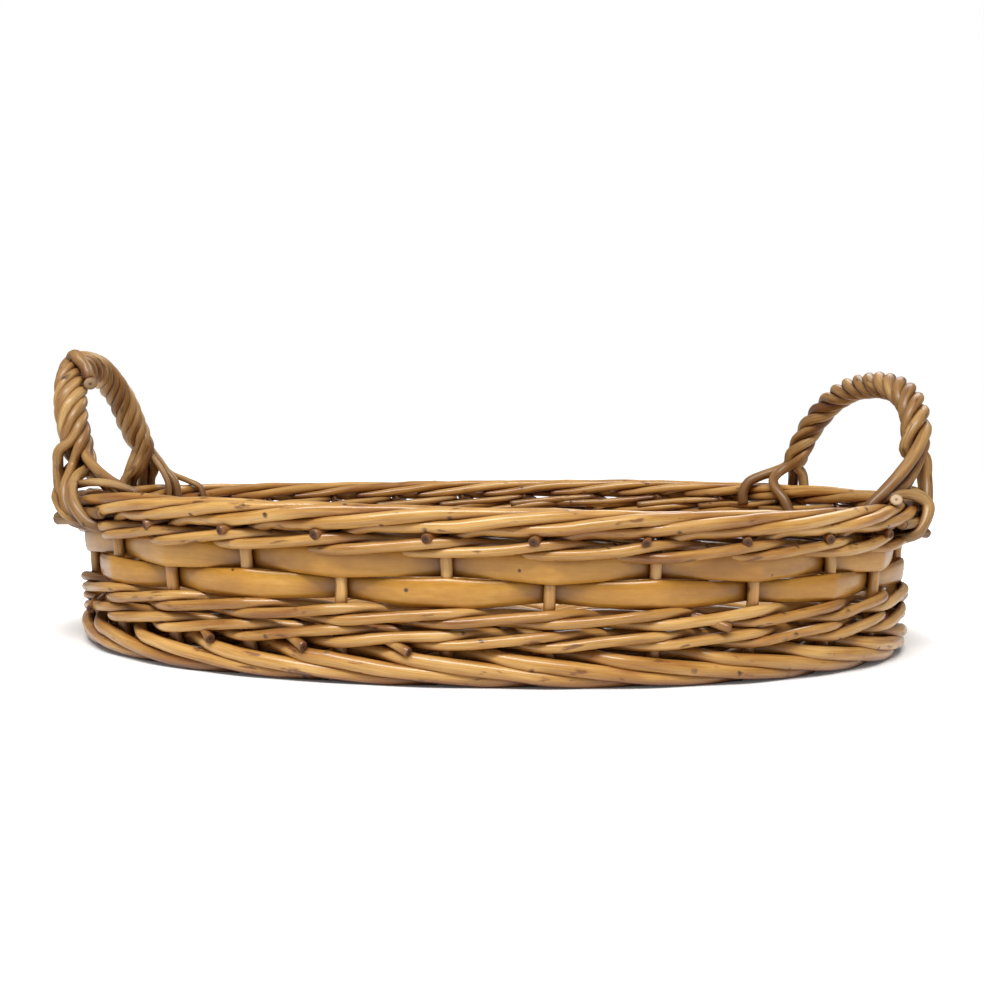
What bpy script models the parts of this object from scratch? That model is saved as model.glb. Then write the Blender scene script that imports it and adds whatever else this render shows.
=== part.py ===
"""Oval willow tray with two roped bow handles, built rod by rod as a basket maker weaves it.

The tray stands on z = 0 with its length along x and its width along y, and the origin is
midway between the farthest points of its two handles.
Every rod is laid in wall coordinates, which a basket maker would use too:
u counts stakes round the oval, n is how far a rod lies outside the line of the stakes
(a minus is inside), and z is the height.
"""

import math

import bmesh
import bpy
import numpy as np
from mathutils import Vector

# The oval, measured on the line of the stakes at the height where the wall leans from
TRAY_LENGTH = 0.388
TRAY_WIDTH = 0.272
OVAL_FULLNESS = 2.1
WALL_LEAN_DEGREES = 4.5
STAKE_COUNT = 26

# Rods
STAKE_DIAMETER = 0.0044
FOOT_ROD_DIAMETER = 0.0054
BORDER_ROD_DIAMETER = 0.0042
WALE_ROD_DIAMETER = 0.0035
ROD_GAP = 0.00035
GROUND_FLAT = 0.0005
WALE_END_GAP = 0.0008
BORDER_SLACK = 0.0007
CAP_WELD = 0.000001

# Splints: the flat split strips that go round the middle of the wall
SPLINT_WIDTH = 0.0122
SPLINT_TUCKED_WIDTH = 0.0066
SPLINT_THICKNESS = 0.0017

# Handles
LEFT_HANDLE_RISE = 0.060
LEFT_HANDLE_LEAN = 0.019
RIGHT_HANDLE_RISE = 0.0565
RIGHT_HANDLE_LEAN = 0.0165
HANDLE_CORE_DIAMETER = 0.0030
HANDLE_STRAND_DIAMETER = 0.0042
HANDLE_LAY = 0.037
HANDLE_GRIP_DEPTH = 0.0145
HANDLE_SPLAY = 0.0046

# Base
LONG_STICK_DIAMETER = 0.0050
CROSS_STICK_DIAMETER = 0.0044
LONG_STICK_COUNT = 3
CROSS_STICK_COUNT = 7
LONG_STICK_ROWS = 2
CROSS_STICK_SPACING = 0.046
WEAVER_ROW = 0.0159
STICK_CLEARANCE = 0.0003
STICK_DEPTH_SHARE = 0.25
STICK_END_GAP = 0.002
BASE_GAP = 0.0016
STICK_OVERRUN_SHARE = 2

# Rod routes. Each row is a place along the rod in stakes, then how far out and how high,
# as shares of the pitch of the rods that lie there
FOOT_CROSSING_SHARE = 1.78
FOOT_STROKE_SHARES = (
    (0.44, -0.86, 0.36),
    (1.02, -1.06, 1.52),
    (1.50, 0.00, FOOT_CROSSING_SHARE),
    (2.00, 1.10, 1.28),
    (2.50, 1.14, 0.76),
    (3.02, 0.84, 0.14),
    (3.84, -0.04, 0.00),
)
FOOT_TURN_SHARE = 0.95
WALE_STROKE_SHARES = (
    (0.40, -0.95, -0.85),
    (1.00, 1.06, -0.97),
    (2.00, 1.06, 0.97),
    (2.60, -0.95, 0.85),
)
WALE_PERIOD = 3
WALE_STROKES_SHOWN = 2
WALE_LIFT_SHARE = 0.54
BORDER_STRANDS = 5
BORDER_WIDE_SHARE = 1.28
BORDER_FLAT_SHARE = 0.69
BORDER_ROUND_STEPS = 180
BORDER_START_SHARE = 0.72
BORDER_STEP_SHARE = 0.5
BORDER_END_SHARE = 4.5
BORDER_START_SHARES = ((0.00, -0.50), (0.04, -0.10))
BORDER_JOIN_SHARE = 0.16
HANDLE_STRANDS = 4
HANDLE_FULLNESS_SHARE = 0.82
HANDLE_FOOT_SHARES = {"left": (1.00, 1.20), "right": (1.15, 2.00)}
HANDLE_GRIP_SHARES = (0.1, 0.55, 1.0)
HANDLE_TURN_STEPS = 6
HANDLE_LINE_STEPS = 48
HANDLE_CORE_STEPS = 24
WALE_JOIN_SHARE = 0.5
WALE_JOIN_MARGIN_SHARE = 0.02
SPLINT_STEPS = 3
BASE_STEPS = 3
SPLINT_SECTION_SHARES = ((-1, 0.0), (0.3, 0.0), (1, 0.5), (0.3, 1.0), (-1, 1.0))

WALL_LEAN = math.tan(math.radians(WALL_LEAN_DEGREES))
STAKE_RADIUS = STAKE_DIAMETER / 2
FOOT_RADIUS = FOOT_ROD_DIAMETER / 2
BORDER_RADIUS = BORDER_ROD_DIAMETER / 2
WALE_RADIUS = WALE_ROD_DIAMETER / 2

# Heights, stacked up from the ground as the rods lie on each other
FOOT_PITCH = FOOT_ROD_DIAMETER + ROD_GAP
FOOT_FLOOR = FOOT_RADIUS - GROUND_FLAT
FOOT_CROSSING = FOOT_FLOOR + FOOT_CROSSING_SHARE * FOOT_PITCH
WALE_REACH = STAKE_RADIUS + WALE_RADIUS + ROD_GAP
WALE_PITCH = WALE_ROD_DIAMETER + ROD_GAP
WALE_RISE = WALE_LIFT_SHARE * WALE_PITCH
WALE_ROW = WALE_STROKES_SHOWN * (WALE_PITCH + ROD_GAP)
LOWER_WALE_LOW = FOOT_CROSSING + FOOT_RADIUS + WALE_RADIUS + ROD_GAP
LOWER_WALE = LOWER_WALE_LOW + WALE_RISE
SECOND_WALE = LOWER_WALE + WALE_ROW
SPLINT_BOTTOM = SECOND_WALE + WALE_RISE + WALE_RADIUS + ROD_GAP
SPLINT_TOP = SPLINT_BOTTOM + SPLINT_WIDTH + SPLINT_TUCKED_WIDTH + ROD_GAP
UPPER_WALE = SPLINT_TOP + ROD_GAP + WALE_RADIUS + WALE_RISE


def border_round():
    """The flattened loop a border rod makes round the rim, seen end on: share walked, out and up."""
    turn = np.linspace(0, 2 * math.pi, BORDER_ROUND_STEPS + 1)
    out = BORDER_WIDE * np.cos(turn)
    up = BORDER_FLAT * np.sin(turn)
    walked = np.concatenate([[0], np.cumsum(np.hypot(np.diff(out), np.diff(up)))])
    return walked / walked[-1], out, up


BORDER_WIDE = BORDER_WIDE_SHARE * (BORDER_ROD_DIAMETER + BORDER_SLACK)
BORDER_FLAT = BORDER_FLAT_SHARE * (BORDER_ROD_DIAMETER + BORDER_SLACK)
ROUND_WALKED, ROUND_OUT, ROUND_UP = border_round()
BORDER_OUT = -np.interp(BORDER_START_SHARE, ROUND_WALKED, ROUND_OUT)
BORDER_LOW = UPPER_WALE + WALE_RISE + WALE_RADIUS + BORDER_RADIUS + ROD_GAP
BORDER_HEIGHT = BORDER_LOW + BORDER_FLAT
RIM_TOP = BORDER_HEIGHT + BORDER_FLAT + BORDER_RADIUS
LEAN_FROM = (SPLINT_BOTTOM + SPLINT_TOP) / 2
WEAVE_SWING = CROSS_STICK_DIAMETER / 2
WEAVE_DEPTH = CROSS_STICK_DIAMETER + 4 * STICK_CLEARANCE
BASE_LOW = LOWER_WALE - WALE_RADIUS
BASE_MIDDLE = BASE_LOW + WEAVE_SWING + WEAVE_DEPTH / 2
LONG_STICK_MIDDLE = BASE_LOW + STICK_DEPTH_SHARE * LONG_STICK_DIAMETER - LONG_STICK_DIAMETER / 2


def clear_scene():
    for item in list(bpy.data.objects):
        bpy.data.objects.remove(item, do_unlink=True)


def make_collection(name, hidden=False):
    group = bpy.data.collections.new(name)
    bpy.context.scene.collection.children.link(group)
    group.hide_render = hidden
    return group


def make_material(name, colour, roughness):
    material = bpy.data.materials.new(name)
    material.use_nodes = True
    surface = material.node_tree.nodes["Principled BSDF"]
    surface.inputs["Base Color"].default_value = (*colour, 1)
    surface.inputs["Roughness"].default_value = roughness
    surface.inputs["Metallic"].default_value = 0
    return material


class Oval:
    """The line of the stakes: a full ellipse, walked at an even pace."""

    STEPS = 1440

    def __init__(self, half_length, half_width):
        turn = np.linspace(0, 2 * math.pi, self.STEPS, endpoint=False)
        across = np.abs(np.cos(turn) / half_length) ** OVAL_FULLNESS
        along = np.abs(np.sin(turn) / half_width) ** OVAL_FULLNESS
        radius = (across + along) ** (-1 / OVAL_FULLNESS)
        points = np.stack([radius * np.cos(turn), radius * np.sin(turn)], axis=1)
        run = np.roll(points, -1, axis=0) - np.roll(points, 1, axis=0)
        run /= np.linalg.norm(run, axis=1)[:, None]
        outward = np.stack([run[:, 1], -run[:, 0]], axis=1)
        self.points = np.vstack([points, points[:1]])
        self.outward = np.vstack([outward, outward[:1]])
        steps = np.linalg.norm(np.diff(self.points, axis=0), axis=1)
        self.walked = np.concatenate([[0], np.cumsum(steps)])
        self.spacing = self.walked[-1] / STAKE_COUNT

    def point(self, u, n, z):
        """The place at u stakes from the +x end, n outside the stake line and z up."""
        walked = (u / STAKE_COUNT % 1) * self.walked[-1]
        x, y = (np.interp(walked, self.walked, self.points[:, i]) for i in (0, 1))
        out_x, out_y = (np.interp(walked, self.walked, self.outward[:, i]) for i in (0, 1))
        n += WALL_LEAN * (z - LEAN_FROM)
        return Vector((x + n * out_x, y + n * out_y, z))


def rod(name, points, radii, group, material, sides=6):
    """A round rod along the points, thick or thin as the radii say, with closed ends."""
    thickest = max(radii)
    line = bpy.data.curves.new(name, "CURVE")
    line.dimensions = "3D"
    line.bevel_depth = thickest
    line.bevel_resolution = sides // 2 - 2
    line.use_fill_caps = True
    line.twist_mode = "MINIMUM"
    spline = line.splines.new("POLY")
    spline.points.add(len(points) - 1)
    for knot, place, radius in zip(spline.points, points, radii):
        knot.co = (*place, 1)
        knot.radius = radius / thickest
    item = bpy.data.objects.new(name, line)
    group.objects.link(item)
    line.materials.append(material)
    spline.use_smooth = True
    return item


def as_mesh(item, group):
    """The rod as a mesh object with its end caps welded on, ready to be cut."""
    graph = bpy.context.evaluated_depsgraph_get()
    mesh = bpy.data.meshes.new_from_object(item.evaluated_get(graph))
    weld_caps(mesh)
    name = item.name
    placed = item.matrix_world.copy()
    bpy.data.objects.remove(item, do_unlink=True)
    solid = bpy.data.objects.new(name, mesh)
    solid.matrix_world = placed
    group.objects.link(solid)
    return solid


def weld_caps(mesh):
    form = bmesh.new()
    form.from_mesh(mesh)
    bmesh.ops.remove_doubles(form, verts=form.verts, dist=CAP_WELD)
    form.to_mesh(mesh)
    form.free()


def loft_ring(name, sections, group, material):
    """A closed band through sections that all have the same number of corners."""
    form = bmesh.new()
    rings = [[form.verts.new(corner) for corner in section] for section in sections]
    corners = len(sections[0])
    for near, far in zip(rings, rings[1:] + rings[:1]):
        for i in range(corners):
            k = (i + 1) % corners
            form.faces.new((near[i], near[k], far[k], far[i]))
    bmesh.ops.recalc_face_normals(form, faces=form.faces)
    mesh = bpy.data.meshes.new(name)
    form.to_mesh(mesh)
    form.free()
    mesh.materials.append(material)
    item = bpy.data.objects.new(name, mesh)
    group.objects.link(item)
    return item


def foot_points(wall, stake):
    """The foot stroke, from its cut end back to the bend under the stake."""
    rows = []
    for along, out, up in reversed(FOOT_STROKE_SHARES):
        place = wall.point(stake + along, out * FOOT_PITCH, FOOT_FLOOR + up * FOOT_PITCH)
        rows.append((place, FOOT_RADIUS))
    turn = wall.point(stake, 0, FOOT_FLOOR + FOOT_TURN_SHARE * FOOT_PITCH)
    rows.append((turn, (FOOT_RADIUS + STAKE_RADIUS) / 2))
    return rows


def upright_points(wall, stake):
    """The straight stake between the foot and the border."""
    heights = (LOWER_WALE_LOW, SPLINT_TOP)
    return [(wall.point(stake, 0, z), STAKE_RADIUS) for z in heights]


def border_points(wall, stake):
    """The border stroke: it lies down to the right and turns once round the rim."""
    rows = []
    for along, drop in BORDER_START_SHARES:
        z = BORDER_LOW + drop * BORDER_ROD_DIAMETER
        rows.append((wall.point(stake + along, 0, z), (STAKE_RADIUS + BORDER_RADIUS) / 2))
    rows.append((border_place(wall, stake, BORDER_JOIN_SHARE), BORDER_RADIUS))
    along = BORDER_STEP_SHARE
    while along < BORDER_END_SHARE:
        rows.append((border_place(wall, stake, along), BORDER_RADIUS))
        along += BORDER_STEP_SHARE
    rows.append((border_place(wall, stake, BORDER_END_SHARE), BORDER_RADIUS))
    return rows


def border_place(wall, stake, along):
    walked = (BORDER_START_SHARE + along / BORDER_STRANDS) % 1
    out = BORDER_OUT + np.interp(walked, ROUND_WALKED, ROUND_OUT)
    up = BORDER_HEIGHT + np.interp(walked, ROUND_WALKED, ROUND_UP)
    return wall.point(stake + along, out, up)


def make_stakes(wall, group, cutter, material):
    """Each stake is one rod: its thick end weaves the foot and its other end the border."""
    for stake in range(STAKE_COUNT):
        rows = foot_points(wall, stake) + upright_points(wall, stake) + border_points(wall, stake)
        line = rod(
            f"stake_{stake + 1:02d}",
            [place for place, radius in rows],
            [radius for place, radius in rows],
            group,
            material,
        )
        solid = as_mesh(line, group)
        cut = solid.modifiers.new("stand flat", "BOOLEAN")
        cut.operation = "DIFFERENCE"
        cut.object = cutter
        cut.solver = "EXACT"


def make_wale(name, wall, middle, start, group, material):
    """One row of three-rod wale: each rod passes in front of two stakes and behind one."""
    for strand in range(WALE_PERIOD):
        rows = []
        first = start + WALE_JOIN_SHARE
        last = first + STAKE_COUNT - WALE_END_GAP / wall.spacing
        rows.append(wale_place(wall, first, strand, middle))
        cycle = math.floor((first + strand) / WALE_PERIOD) * WALE_PERIOD - strand
        while cycle < last:
            for along, out, up in WALE_STROKE_SHARES:
                u = cycle + along
                if first < u - WALE_JOIN_MARGIN_SHARE and u + WALE_JOIN_MARGIN_SHARE < last:
                    rows.append(wale_place(wall, u, strand, middle))
            cycle += WALE_PERIOD
        rows.append(wale_place(wall, last, strand, middle))
        rod(f"{name}_{strand + 1}", rows, [WALE_RADIUS] * len(rows), group, material)


def wale_place(wall, u, strand, middle):
    stops, outs, ups = zip(*WALE_STROKE_SHARES)
    phase = (u + strand) % WALE_PERIOD
    out = np.interp(phase, stops, outs, period=WALE_PERIOD) * WALE_REACH
    up = np.interp(phase, stops, ups, period=WALE_PERIOD) * WALE_RISE
    return wall.point(u, out, middle + up)


def make_splint(name, wall, edge, inward, out_first, group, material):
    """A flat strip over one stake and under the next, full where it shows and narrow where it hides."""
    reach = STAKE_RADIUS + SPLINT_THICKNESS / 2 + ROD_GAP
    sections = []
    for step in range(STAKE_COUNT * SPLINT_STEPS):
        u = step / SPLINT_STEPS
        wave = math.cos(math.pi * (u + out_first))
        out = reach * wave
        swell = (1 + tent(u + out_first)) / 2
        width = SPLINT_TUCKED_WIDTH + (SPLINT_WIDTH - SPLINT_TUCKED_WIDTH) * swell
        low, high = sorted((edge, edge + inward * width))
        half = SPLINT_THICKNESS / 2
        section = []
        for side, height in SPLINT_SECTION_SHARES:
            section.append(wall.point(u, out + side * half, low + height * (high - low)))
        sections.append(section)
    loft_ring(name, sections, group, material)


def tent(u):
    """1 on even stakes and -1 on odd ones, with straight lines between."""
    turned = u % 2
    return 1 - 2 * turned if turned < 1 else 2 * turned - 3


def handle_feet(side_name, side):
    """Where the front and the back foot of a handle stand, as places u on the rim."""
    end = 0 if side > 0 else STAKE_COUNT / 2
    front, back = HANDLE_FOOT_SHARES[side_name]
    return end - side * front, end + side * back


def rim_outward(wall, u):
    """The level direction that points out of the tray at u."""
    out = wall.point(u, BORDER_RADIUS, RIM_TOP) - wall.point(u, 0, RIM_TOP)
    return out.normalized()


def handle_line(wall, side, feet, rise, lean_out):
    """The centre line of a handle as many points, from its front foot over to its back foot."""
    front, back = (wall.point(u, BORDER_OUT, RIM_TOP + ROD_GAP) for u in feet)
    middle = (front + back) / 2
    half = (front - back) / 2
    lean = half.cross(Vector((0, 0, 1))).normalized()
    lean *= math.copysign(lean_out, lean.x * side)
    rows = []
    for step in range(HANDLE_LINE_STEPS + 1):
        angle = math.pi * step / HANDLE_LINE_STEPS
        along = math.copysign(abs(math.cos(angle)) ** HANDLE_FULLNESS_SHARE, math.cos(angle))
        up = math.sin(angle) ** HANDLE_FULLNESS_SHARE
        rows.append(middle + half * along + (lean + Vector((0, 0, rise))) * up)
    return rows


def even_walk(points, count):
    """The same line as count + 1 points at an even pace."""
    flat = np.array([tuple(point) for point in points])
    walked = np.concatenate([[0], np.cumsum(np.linalg.norm(np.diff(flat, axis=0), axis=1))])
    stops = np.linspace(0, walked[-1], count + 1)
    places = np.stack([np.interp(stops, walked, flat[:, i]) for i in range(3)], axis=1)
    return [Vector(place) for place in places], walked[-1]


def make_handle(side_name, side, rise, lean_out, wall, group, materials):
    """A core rod bent over as a bow, with four strands twisted round it that grip the border."""
    core_material, strand_material = materials
    feet = handle_feet(side_name, side)
    line = handle_line(wall, side, feet, rise, lean_out)
    places, length = even_walk(line, HANDLE_CORE_STEPS)
    core = HANDLE_CORE_DIAMETER / 2
    rod(f"handle_core_{side_name}", places, [core] * len(places), group, core_material)
    strand = HANDLE_STRAND_DIAMETER / 2
    coil = (core + strand + ROD_GAP) / math.cos(math.pi / HANDLE_TURN_STEPS)
    turns = round(length / HANDLE_LAY * HANDLE_STRANDS) / HANDLE_STRANDS
    steps = round(turns * HANDLE_TURN_STEPS)
    places, length = even_walk(line, steps + 2)
    outward = [rim_outward(wall, u) for u in feet]
    for k in range(HANDLE_STRANDS):
        rows = []
        for i in range(steps + 1):
            place = places[i + 1]
            ahead = (places[i + 2] - places[i]).normalized()
            out = outward[0].lerp(outward[1], i / steps)
            out = (out - ahead * out.dot(ahead)).normalized()
            across = ahead.cross(out)
            angle = 2 * math.pi * (turns * i / steps + (k + 0.5) / HANDLE_STRANDS)
            rows.append(place + coil * (math.cos(angle) * out + math.sin(angle) * across))
        front = strand_grip(wall, feet[0], rows[0] - places[0])
        back = strand_grip(wall, feet[1], rows[-1] - places[-1])
        rows = list(reversed(front)) + rows + back
        name = f"handle_strand_{side_name}_{k + 1}"
        rod(name, rows, [strand] * len(rows), group, strand_material)
    return line


def strand_grip(wall, foot, leaving):
    """Carries a strand from the rope down one face of the border, outside or inside."""
    strand = HANDLE_STRAND_DIAMETER / 2
    clear = BORDER_WIDE + BORDER_RADIUS + strand + 2 * ROD_GAP
    outward = rim_outward(wall, foot)
    onward = Vector((0, 0, 1)).cross(outward)
    n = BORDER_OUT + math.copysign(clear, leaving.dot(outward))
    splay = math.copysign(HANDLE_SPLAY / wall.spacing, leaving.dot(onward))
    rows = []
    for share in HANDLE_GRIP_SHARES:
        z = RIM_TOP - share * HANDLE_GRIP_DEPTH
        rows.append(wall.point(foot + splay * (1 + share), n, z))
    return rows


def base_outline(wall):
    n = -(WALE_REACH + WALE_RADIUS + BASE_GAP)
    steps = STAKE_COUNT * BASE_STEPS
    return [wall.point(step / BASE_STEPS, n, LOWER_WALE) for step in range(steps)]


def woven_sheet(outline, group, material):
    """A sheet whose rows go over one cross stick and under the next, wider than the outline.

    The patches between two rows fold to the left and to the right by turns.
    """
    reach = [max(point[axis] for point in outline) for axis in (0, 1)]
    bays = math.ceil(reach[0] / CROSS_STICK_SPACING)
    rows = math.ceil(reach[1] / WEAVER_ROW)
    stations = [(i, j) for j in range(-rows, rows + 1) for i in range(-bays, bays + 1)]
    form = bmesh.new()
    layers = []
    for side in (-1, 1):
        layer = {}
        for i, j in stations:
            swing = WEAVE_SWING if (i + j) % 2 else -WEAVE_SWING
            height = BASE_MIDDLE + swing + side * WEAVE_DEPTH / 2
            layer[i, j] = form.verts.new((i * CROSS_STICK_SPACING, j * WEAVER_ROW, height))
        layers.append(layer)
        for i, j in stations:
            if i < bays and j < rows:
                corners = [layer[i, j], layer[i + 1, j], layer[i + 1, j + 1], layer[i, j + 1]]
                if j % 2:
                    corners = corners[1:] + corners[:1]
                form.faces.new(corners[:3])
                form.faces.new(corners[2:] + corners[:1])
    edge = [(i, -rows) for i in range(-bays, bays)] + [(bays, j) for j in range(-rows, rows)]
    edge += [(i, rows) for i in range(bays, -bays, -1)] + [(-bays, j) for j in range(rows, -rows, -1)]
    below, above = layers
    for near, far in zip(edge, edge[1:] + edge[:1]):
        form.faces.new((below[near], below[far], above[far], above[near]))
    bmesh.ops.recalc_face_normals(form, faces=form.faces)
    mesh = bpy.data.meshes.new("base_weave")
    form.to_mesh(mesh)
    form.free()
    mesh.materials.append(material)
    sheet = bpy.data.objects.new("base_weave", mesh)
    group.objects.link(sheet)
    return sheet


def outline_block(outline, cutters):
    """The oval that the woven sheet is trimmed to, as a block taller than the sheet."""
    flat = bpy.data.curves.new("base_outline", "CURVE")
    flat.dimensions = "2D"
    flat.fill_mode = "BOTH"
    flat.extrude = WEAVE_SWING + WEAVE_DEPTH
    spline = flat.splines.new("POLY")
    spline.points.add(len(outline) - 1)
    for knot, place in zip(spline.points, outline):
        knot.co = (place.x, place.y, 0, 1)
    spline.use_cyclic_u = True
    line = bpy.data.objects.new("base_outline", flat)
    line.location.z = BASE_MIDDLE
    cutters.objects.link(line)
    bpy.context.view_layer.update()
    block = as_mesh(line, cutters)
    block.display_type = "WIRE"
    block.hide_render = True
    return block


def shape_with(item, tool, operation):
    change = item.modifiers.new(tool.name, "BOOLEAN")
    change.operation = operation
    change.object = tool
    change.solver = "EXACT"


def make_base(wall, group, cutters, weave_material, stick_material):
    """An oval woven floor with cross sticks in the weave and long sticks let in below."""
    outline = base_outline(wall)
    weave = woven_sheet(outline, group, weave_material)
    shape_with(weave, outline_block(outline, cutters), "INTERSECT")
    for i in range(LONG_STICK_COUNT):
        y = (i - (LONG_STICK_COUNT - 1) / 2) * LONG_STICK_ROWS * WEAVER_ROW
        reach = outline_reach(outline, 0, y)
        ends = (Vector((-reach, y, LONG_STICK_MIDDLE)), Vector((reach, y, LONG_STICK_MIDDLE)))
        name = f"base_long_stick_{i + 1}"
        make_stick(name, ends, LONG_STICK_DIAMETER, weave, group, cutters, stick_material)
    for i in range(CROSS_STICK_COUNT):
        x = (i - (CROSS_STICK_COUNT - 1) / 2) * CROSS_STICK_SPACING
        reach = outline_reach(outline, 1, x)
        ends = (Vector((x, -reach, BASE_MIDDLE)), Vector((x, reach, BASE_MIDDLE)))
        name = f"base_cross_stick_{i + 1}"
        make_stick(name, ends, CROSS_STICK_DIAMETER, weave, group, cutters, stick_material)


def outline_reach(outline, axis, across):
    """How far the outline reaches along an axis at a place across it."""
    ahead = [point for point in outline if point[axis] > 0]
    nearest = min(ahead, key=lambda point: abs(point[1 - axis] - across))
    return nearest[axis] - STICK_END_GAP


def make_stick(name, ends, diameter, weave, group, cutters, material):
    radius = diameter / 2
    stick = rod(name, ends, [radius, radius], group, material)
    overrun = (ends[1] - ends[0]).normalized() * diameter * STICK_OVERRUN_SHARE
    path = (ends[0] - overrun, ends[1] + overrun)
    width = radius + STICK_CLEARANCE
    groove = rod(f"{name}_groove", path, [width, width], cutters, material)
    solid = as_mesh(groove, cutters)
    solid.display_type = "WIRE"
    solid.hide_render = True
    shape_with(weave, solid, "DIFFERENCE")


def make_ground_cutter(cutters):
    """A block below the ground plane that cuts the foot rods flat."""
    depth = FOOT_ROD_DIAMETER
    bpy.ops.mesh.primitive_cube_add(size=1, location=(0, 0, -depth / 2))
    block = bpy.context.object
    block.name = "ground_cutter"
    block.scale = (2 * TRAY_LENGTH, 2 * TRAY_WIDTH, depth)
    for owner in list(block.users_collection):
        owner.objects.unlink(block)
    cutters.objects.link(block)
    block.display_type = "WIRE"
    block.hide_render = True
    return block


def centre_between(points, groups):
    """Slides the whole tray along x until the points reach equally far to both sides."""
    reaches = [point.x for point in points]
    shift = (min(reaches) + max(reaches)) / 2
    for group in groups:
        for item in group.objects:
            item.location.x -= shift
    print("slid", round(-shift * 1000, 2), "mm along x")


def main():
    clear_scene()
    tray = make_collection("willow_tray")
    cutters = make_collection("cutters", hidden=True)
    peeled = make_material("peeled willow rod", (0.53, 0.33, 0.13), 0.38)
    waling = make_material("thin willow rod", (0.50, 0.31, 0.12), 0.40)
    split = make_material("split willow", (0.58, 0.34, 0.09), 0.30)
    roped = make_material("roped willow", (0.42, 0.24, 0.09), 0.42)
    floor = make_material("floor weave", (0.44, 0.27, 0.11), 0.50)
    wall = Oval(TRAY_LENGTH / 2, TRAY_WIDTH / 2)
    ground = make_ground_cutter(cutters)
    make_stakes(wall, tray, ground, peeled)
    make_wale("lower_wale_row1", wall, LOWER_WALE, 3, tray, waling)
    make_wale("lower_wale_row2", wall, SECOND_WALE, 8, tray, waling)
    make_wale("upper_wale", wall, UPPER_WALE, 5, tray, waling)
    make_splint("splint_lower", wall, SPLINT_BOTTOM, 1, 1, tray, split)
    make_splint("splint_upper", wall, SPLINT_TOP, -1, 0, tray, split)
    bow = (peeled, roped)
    left = make_handle("left", -1, LEFT_HANDLE_RISE, LEFT_HANDLE_LEAN, wall, tray, bow)
    right = make_handle("right", 1, RIGHT_HANDLE_RISE, RIGHT_HANDLE_LEAN, wall, tray, bow)
    make_base(wall, tray, cutters, floor, peeled)
    centre_between(left + right, (tray, cutters))
    print("rim top", round(RIM_TOP * 1000, 2), "mm, stake spacing", round(wall.spacing * 1000, 2), "mm")


main()
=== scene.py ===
# %% [markdown]
# # A willow tray, woven rod by rod
# This lesson dresses a shallow oval willow tray that stands on a pale table.
# The real tray is nothing but rods: thick ones that stand up as stakes, thin ones that are
# worked round them, two flat split strips, and two handles twisted like rope.
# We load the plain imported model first. It says where every rod lies, and we keep to that.

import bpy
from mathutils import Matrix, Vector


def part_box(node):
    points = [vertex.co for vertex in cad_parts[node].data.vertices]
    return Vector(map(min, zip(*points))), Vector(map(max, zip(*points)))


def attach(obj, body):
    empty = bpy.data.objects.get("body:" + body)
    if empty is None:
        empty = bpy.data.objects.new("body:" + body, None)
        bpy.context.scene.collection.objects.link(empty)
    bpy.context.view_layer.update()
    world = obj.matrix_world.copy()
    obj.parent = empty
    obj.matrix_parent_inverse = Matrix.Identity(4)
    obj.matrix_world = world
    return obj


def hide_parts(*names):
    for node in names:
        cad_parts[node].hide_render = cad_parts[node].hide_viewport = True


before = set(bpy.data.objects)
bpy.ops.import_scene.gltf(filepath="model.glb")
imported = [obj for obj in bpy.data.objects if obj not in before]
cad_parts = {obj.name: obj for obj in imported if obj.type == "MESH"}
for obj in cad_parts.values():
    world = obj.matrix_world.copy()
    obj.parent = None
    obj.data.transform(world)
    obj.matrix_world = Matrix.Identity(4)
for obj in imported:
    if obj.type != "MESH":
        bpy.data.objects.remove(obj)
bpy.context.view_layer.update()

# %% Tools we use
import itertools
import math

import bpy
import numpy as np
from mathutils import Matrix, Vector

# %% Seeds
# Each piece wanders by chance, but from a fixed seed, so the tray is the same every time.
SEEDS = {
    "strip_lower": 71, "strip_upper": 72, "stake": 100, "stake rod": 200, "wale": 300,
    "left": 500, "left rods": 520, "right": 550, "right rods": 570, "binder": 560, "hook": 590,
    "cross_stick": 600, "long_stick": 620, "weaver": 700, "butt": 900, "low butt": 940,
    "lining": 960, "tucked": 980,
}


def dice(kind, i=0):
    """The seed of one piece, and its own row of chances."""
    seed = SEEDS[kind] + i
    return seed, np.random.default_rng(seed)


print("seeds for", len(SEEDS), "kinds of piece")

# %% [markdown]
# ## Wall coordinates
# A basket maker doesn't think in x and y. They say: at the third stake, one rod outside it,
# two fingers up. We do the same with three numbers: u counts stakes round the oval, n is how
# far outside the stakes' line a point lies, and z is its height.
# The oval is a slightly full ellipse. Walking it at an even pace spaces the stakes evenly.

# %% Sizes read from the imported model
floor_low, floor_high = (np.array(corner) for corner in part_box("base_weave"))
stake_names = sorted(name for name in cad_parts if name.startswith("stake_"))
STAKE_COUNT = len(stake_names)
FLOOR_INSET = 0.0093
HALF_LENGTH, HALF_WIDTH = ((floor_high - floor_low) / 2 + FLOOR_INSET)[:2]
MIDDLE_X = (floor_low[0] + floor_high[0]) / 2
RIM_TOP = max(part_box(name)[1][2] for name in stake_names)
STRIP_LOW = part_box("splint_lower")[0][2]
STRIP_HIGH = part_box("splint_upper")[1][2]
LEAN_FROM = (STRIP_LOW + STRIP_HIGH) / 2


def node_middle(node, axis=2):
    """The middle of a node's box: its height, unless another axis is named."""
    low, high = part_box(node)
    return (low[axis] + high[axis]) / 2


LOWER_WALE = node_middle("lower_wale_row1_1")
SECOND_WALE = node_middle("lower_wale_row2_1")
UPPER_WALE = node_middle("upper_wale_1")
print(STAKE_COUNT, "stakes on an oval of", round(2 * HALF_LENGTH, 4), "by", round(2 * HALF_WIDTH, 4))
print("wales at", np.round((LOWER_WALE, SECOND_WALE, UPPER_WALE), 4), "and the rim at", round(RIM_TOP, 4))

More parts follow.
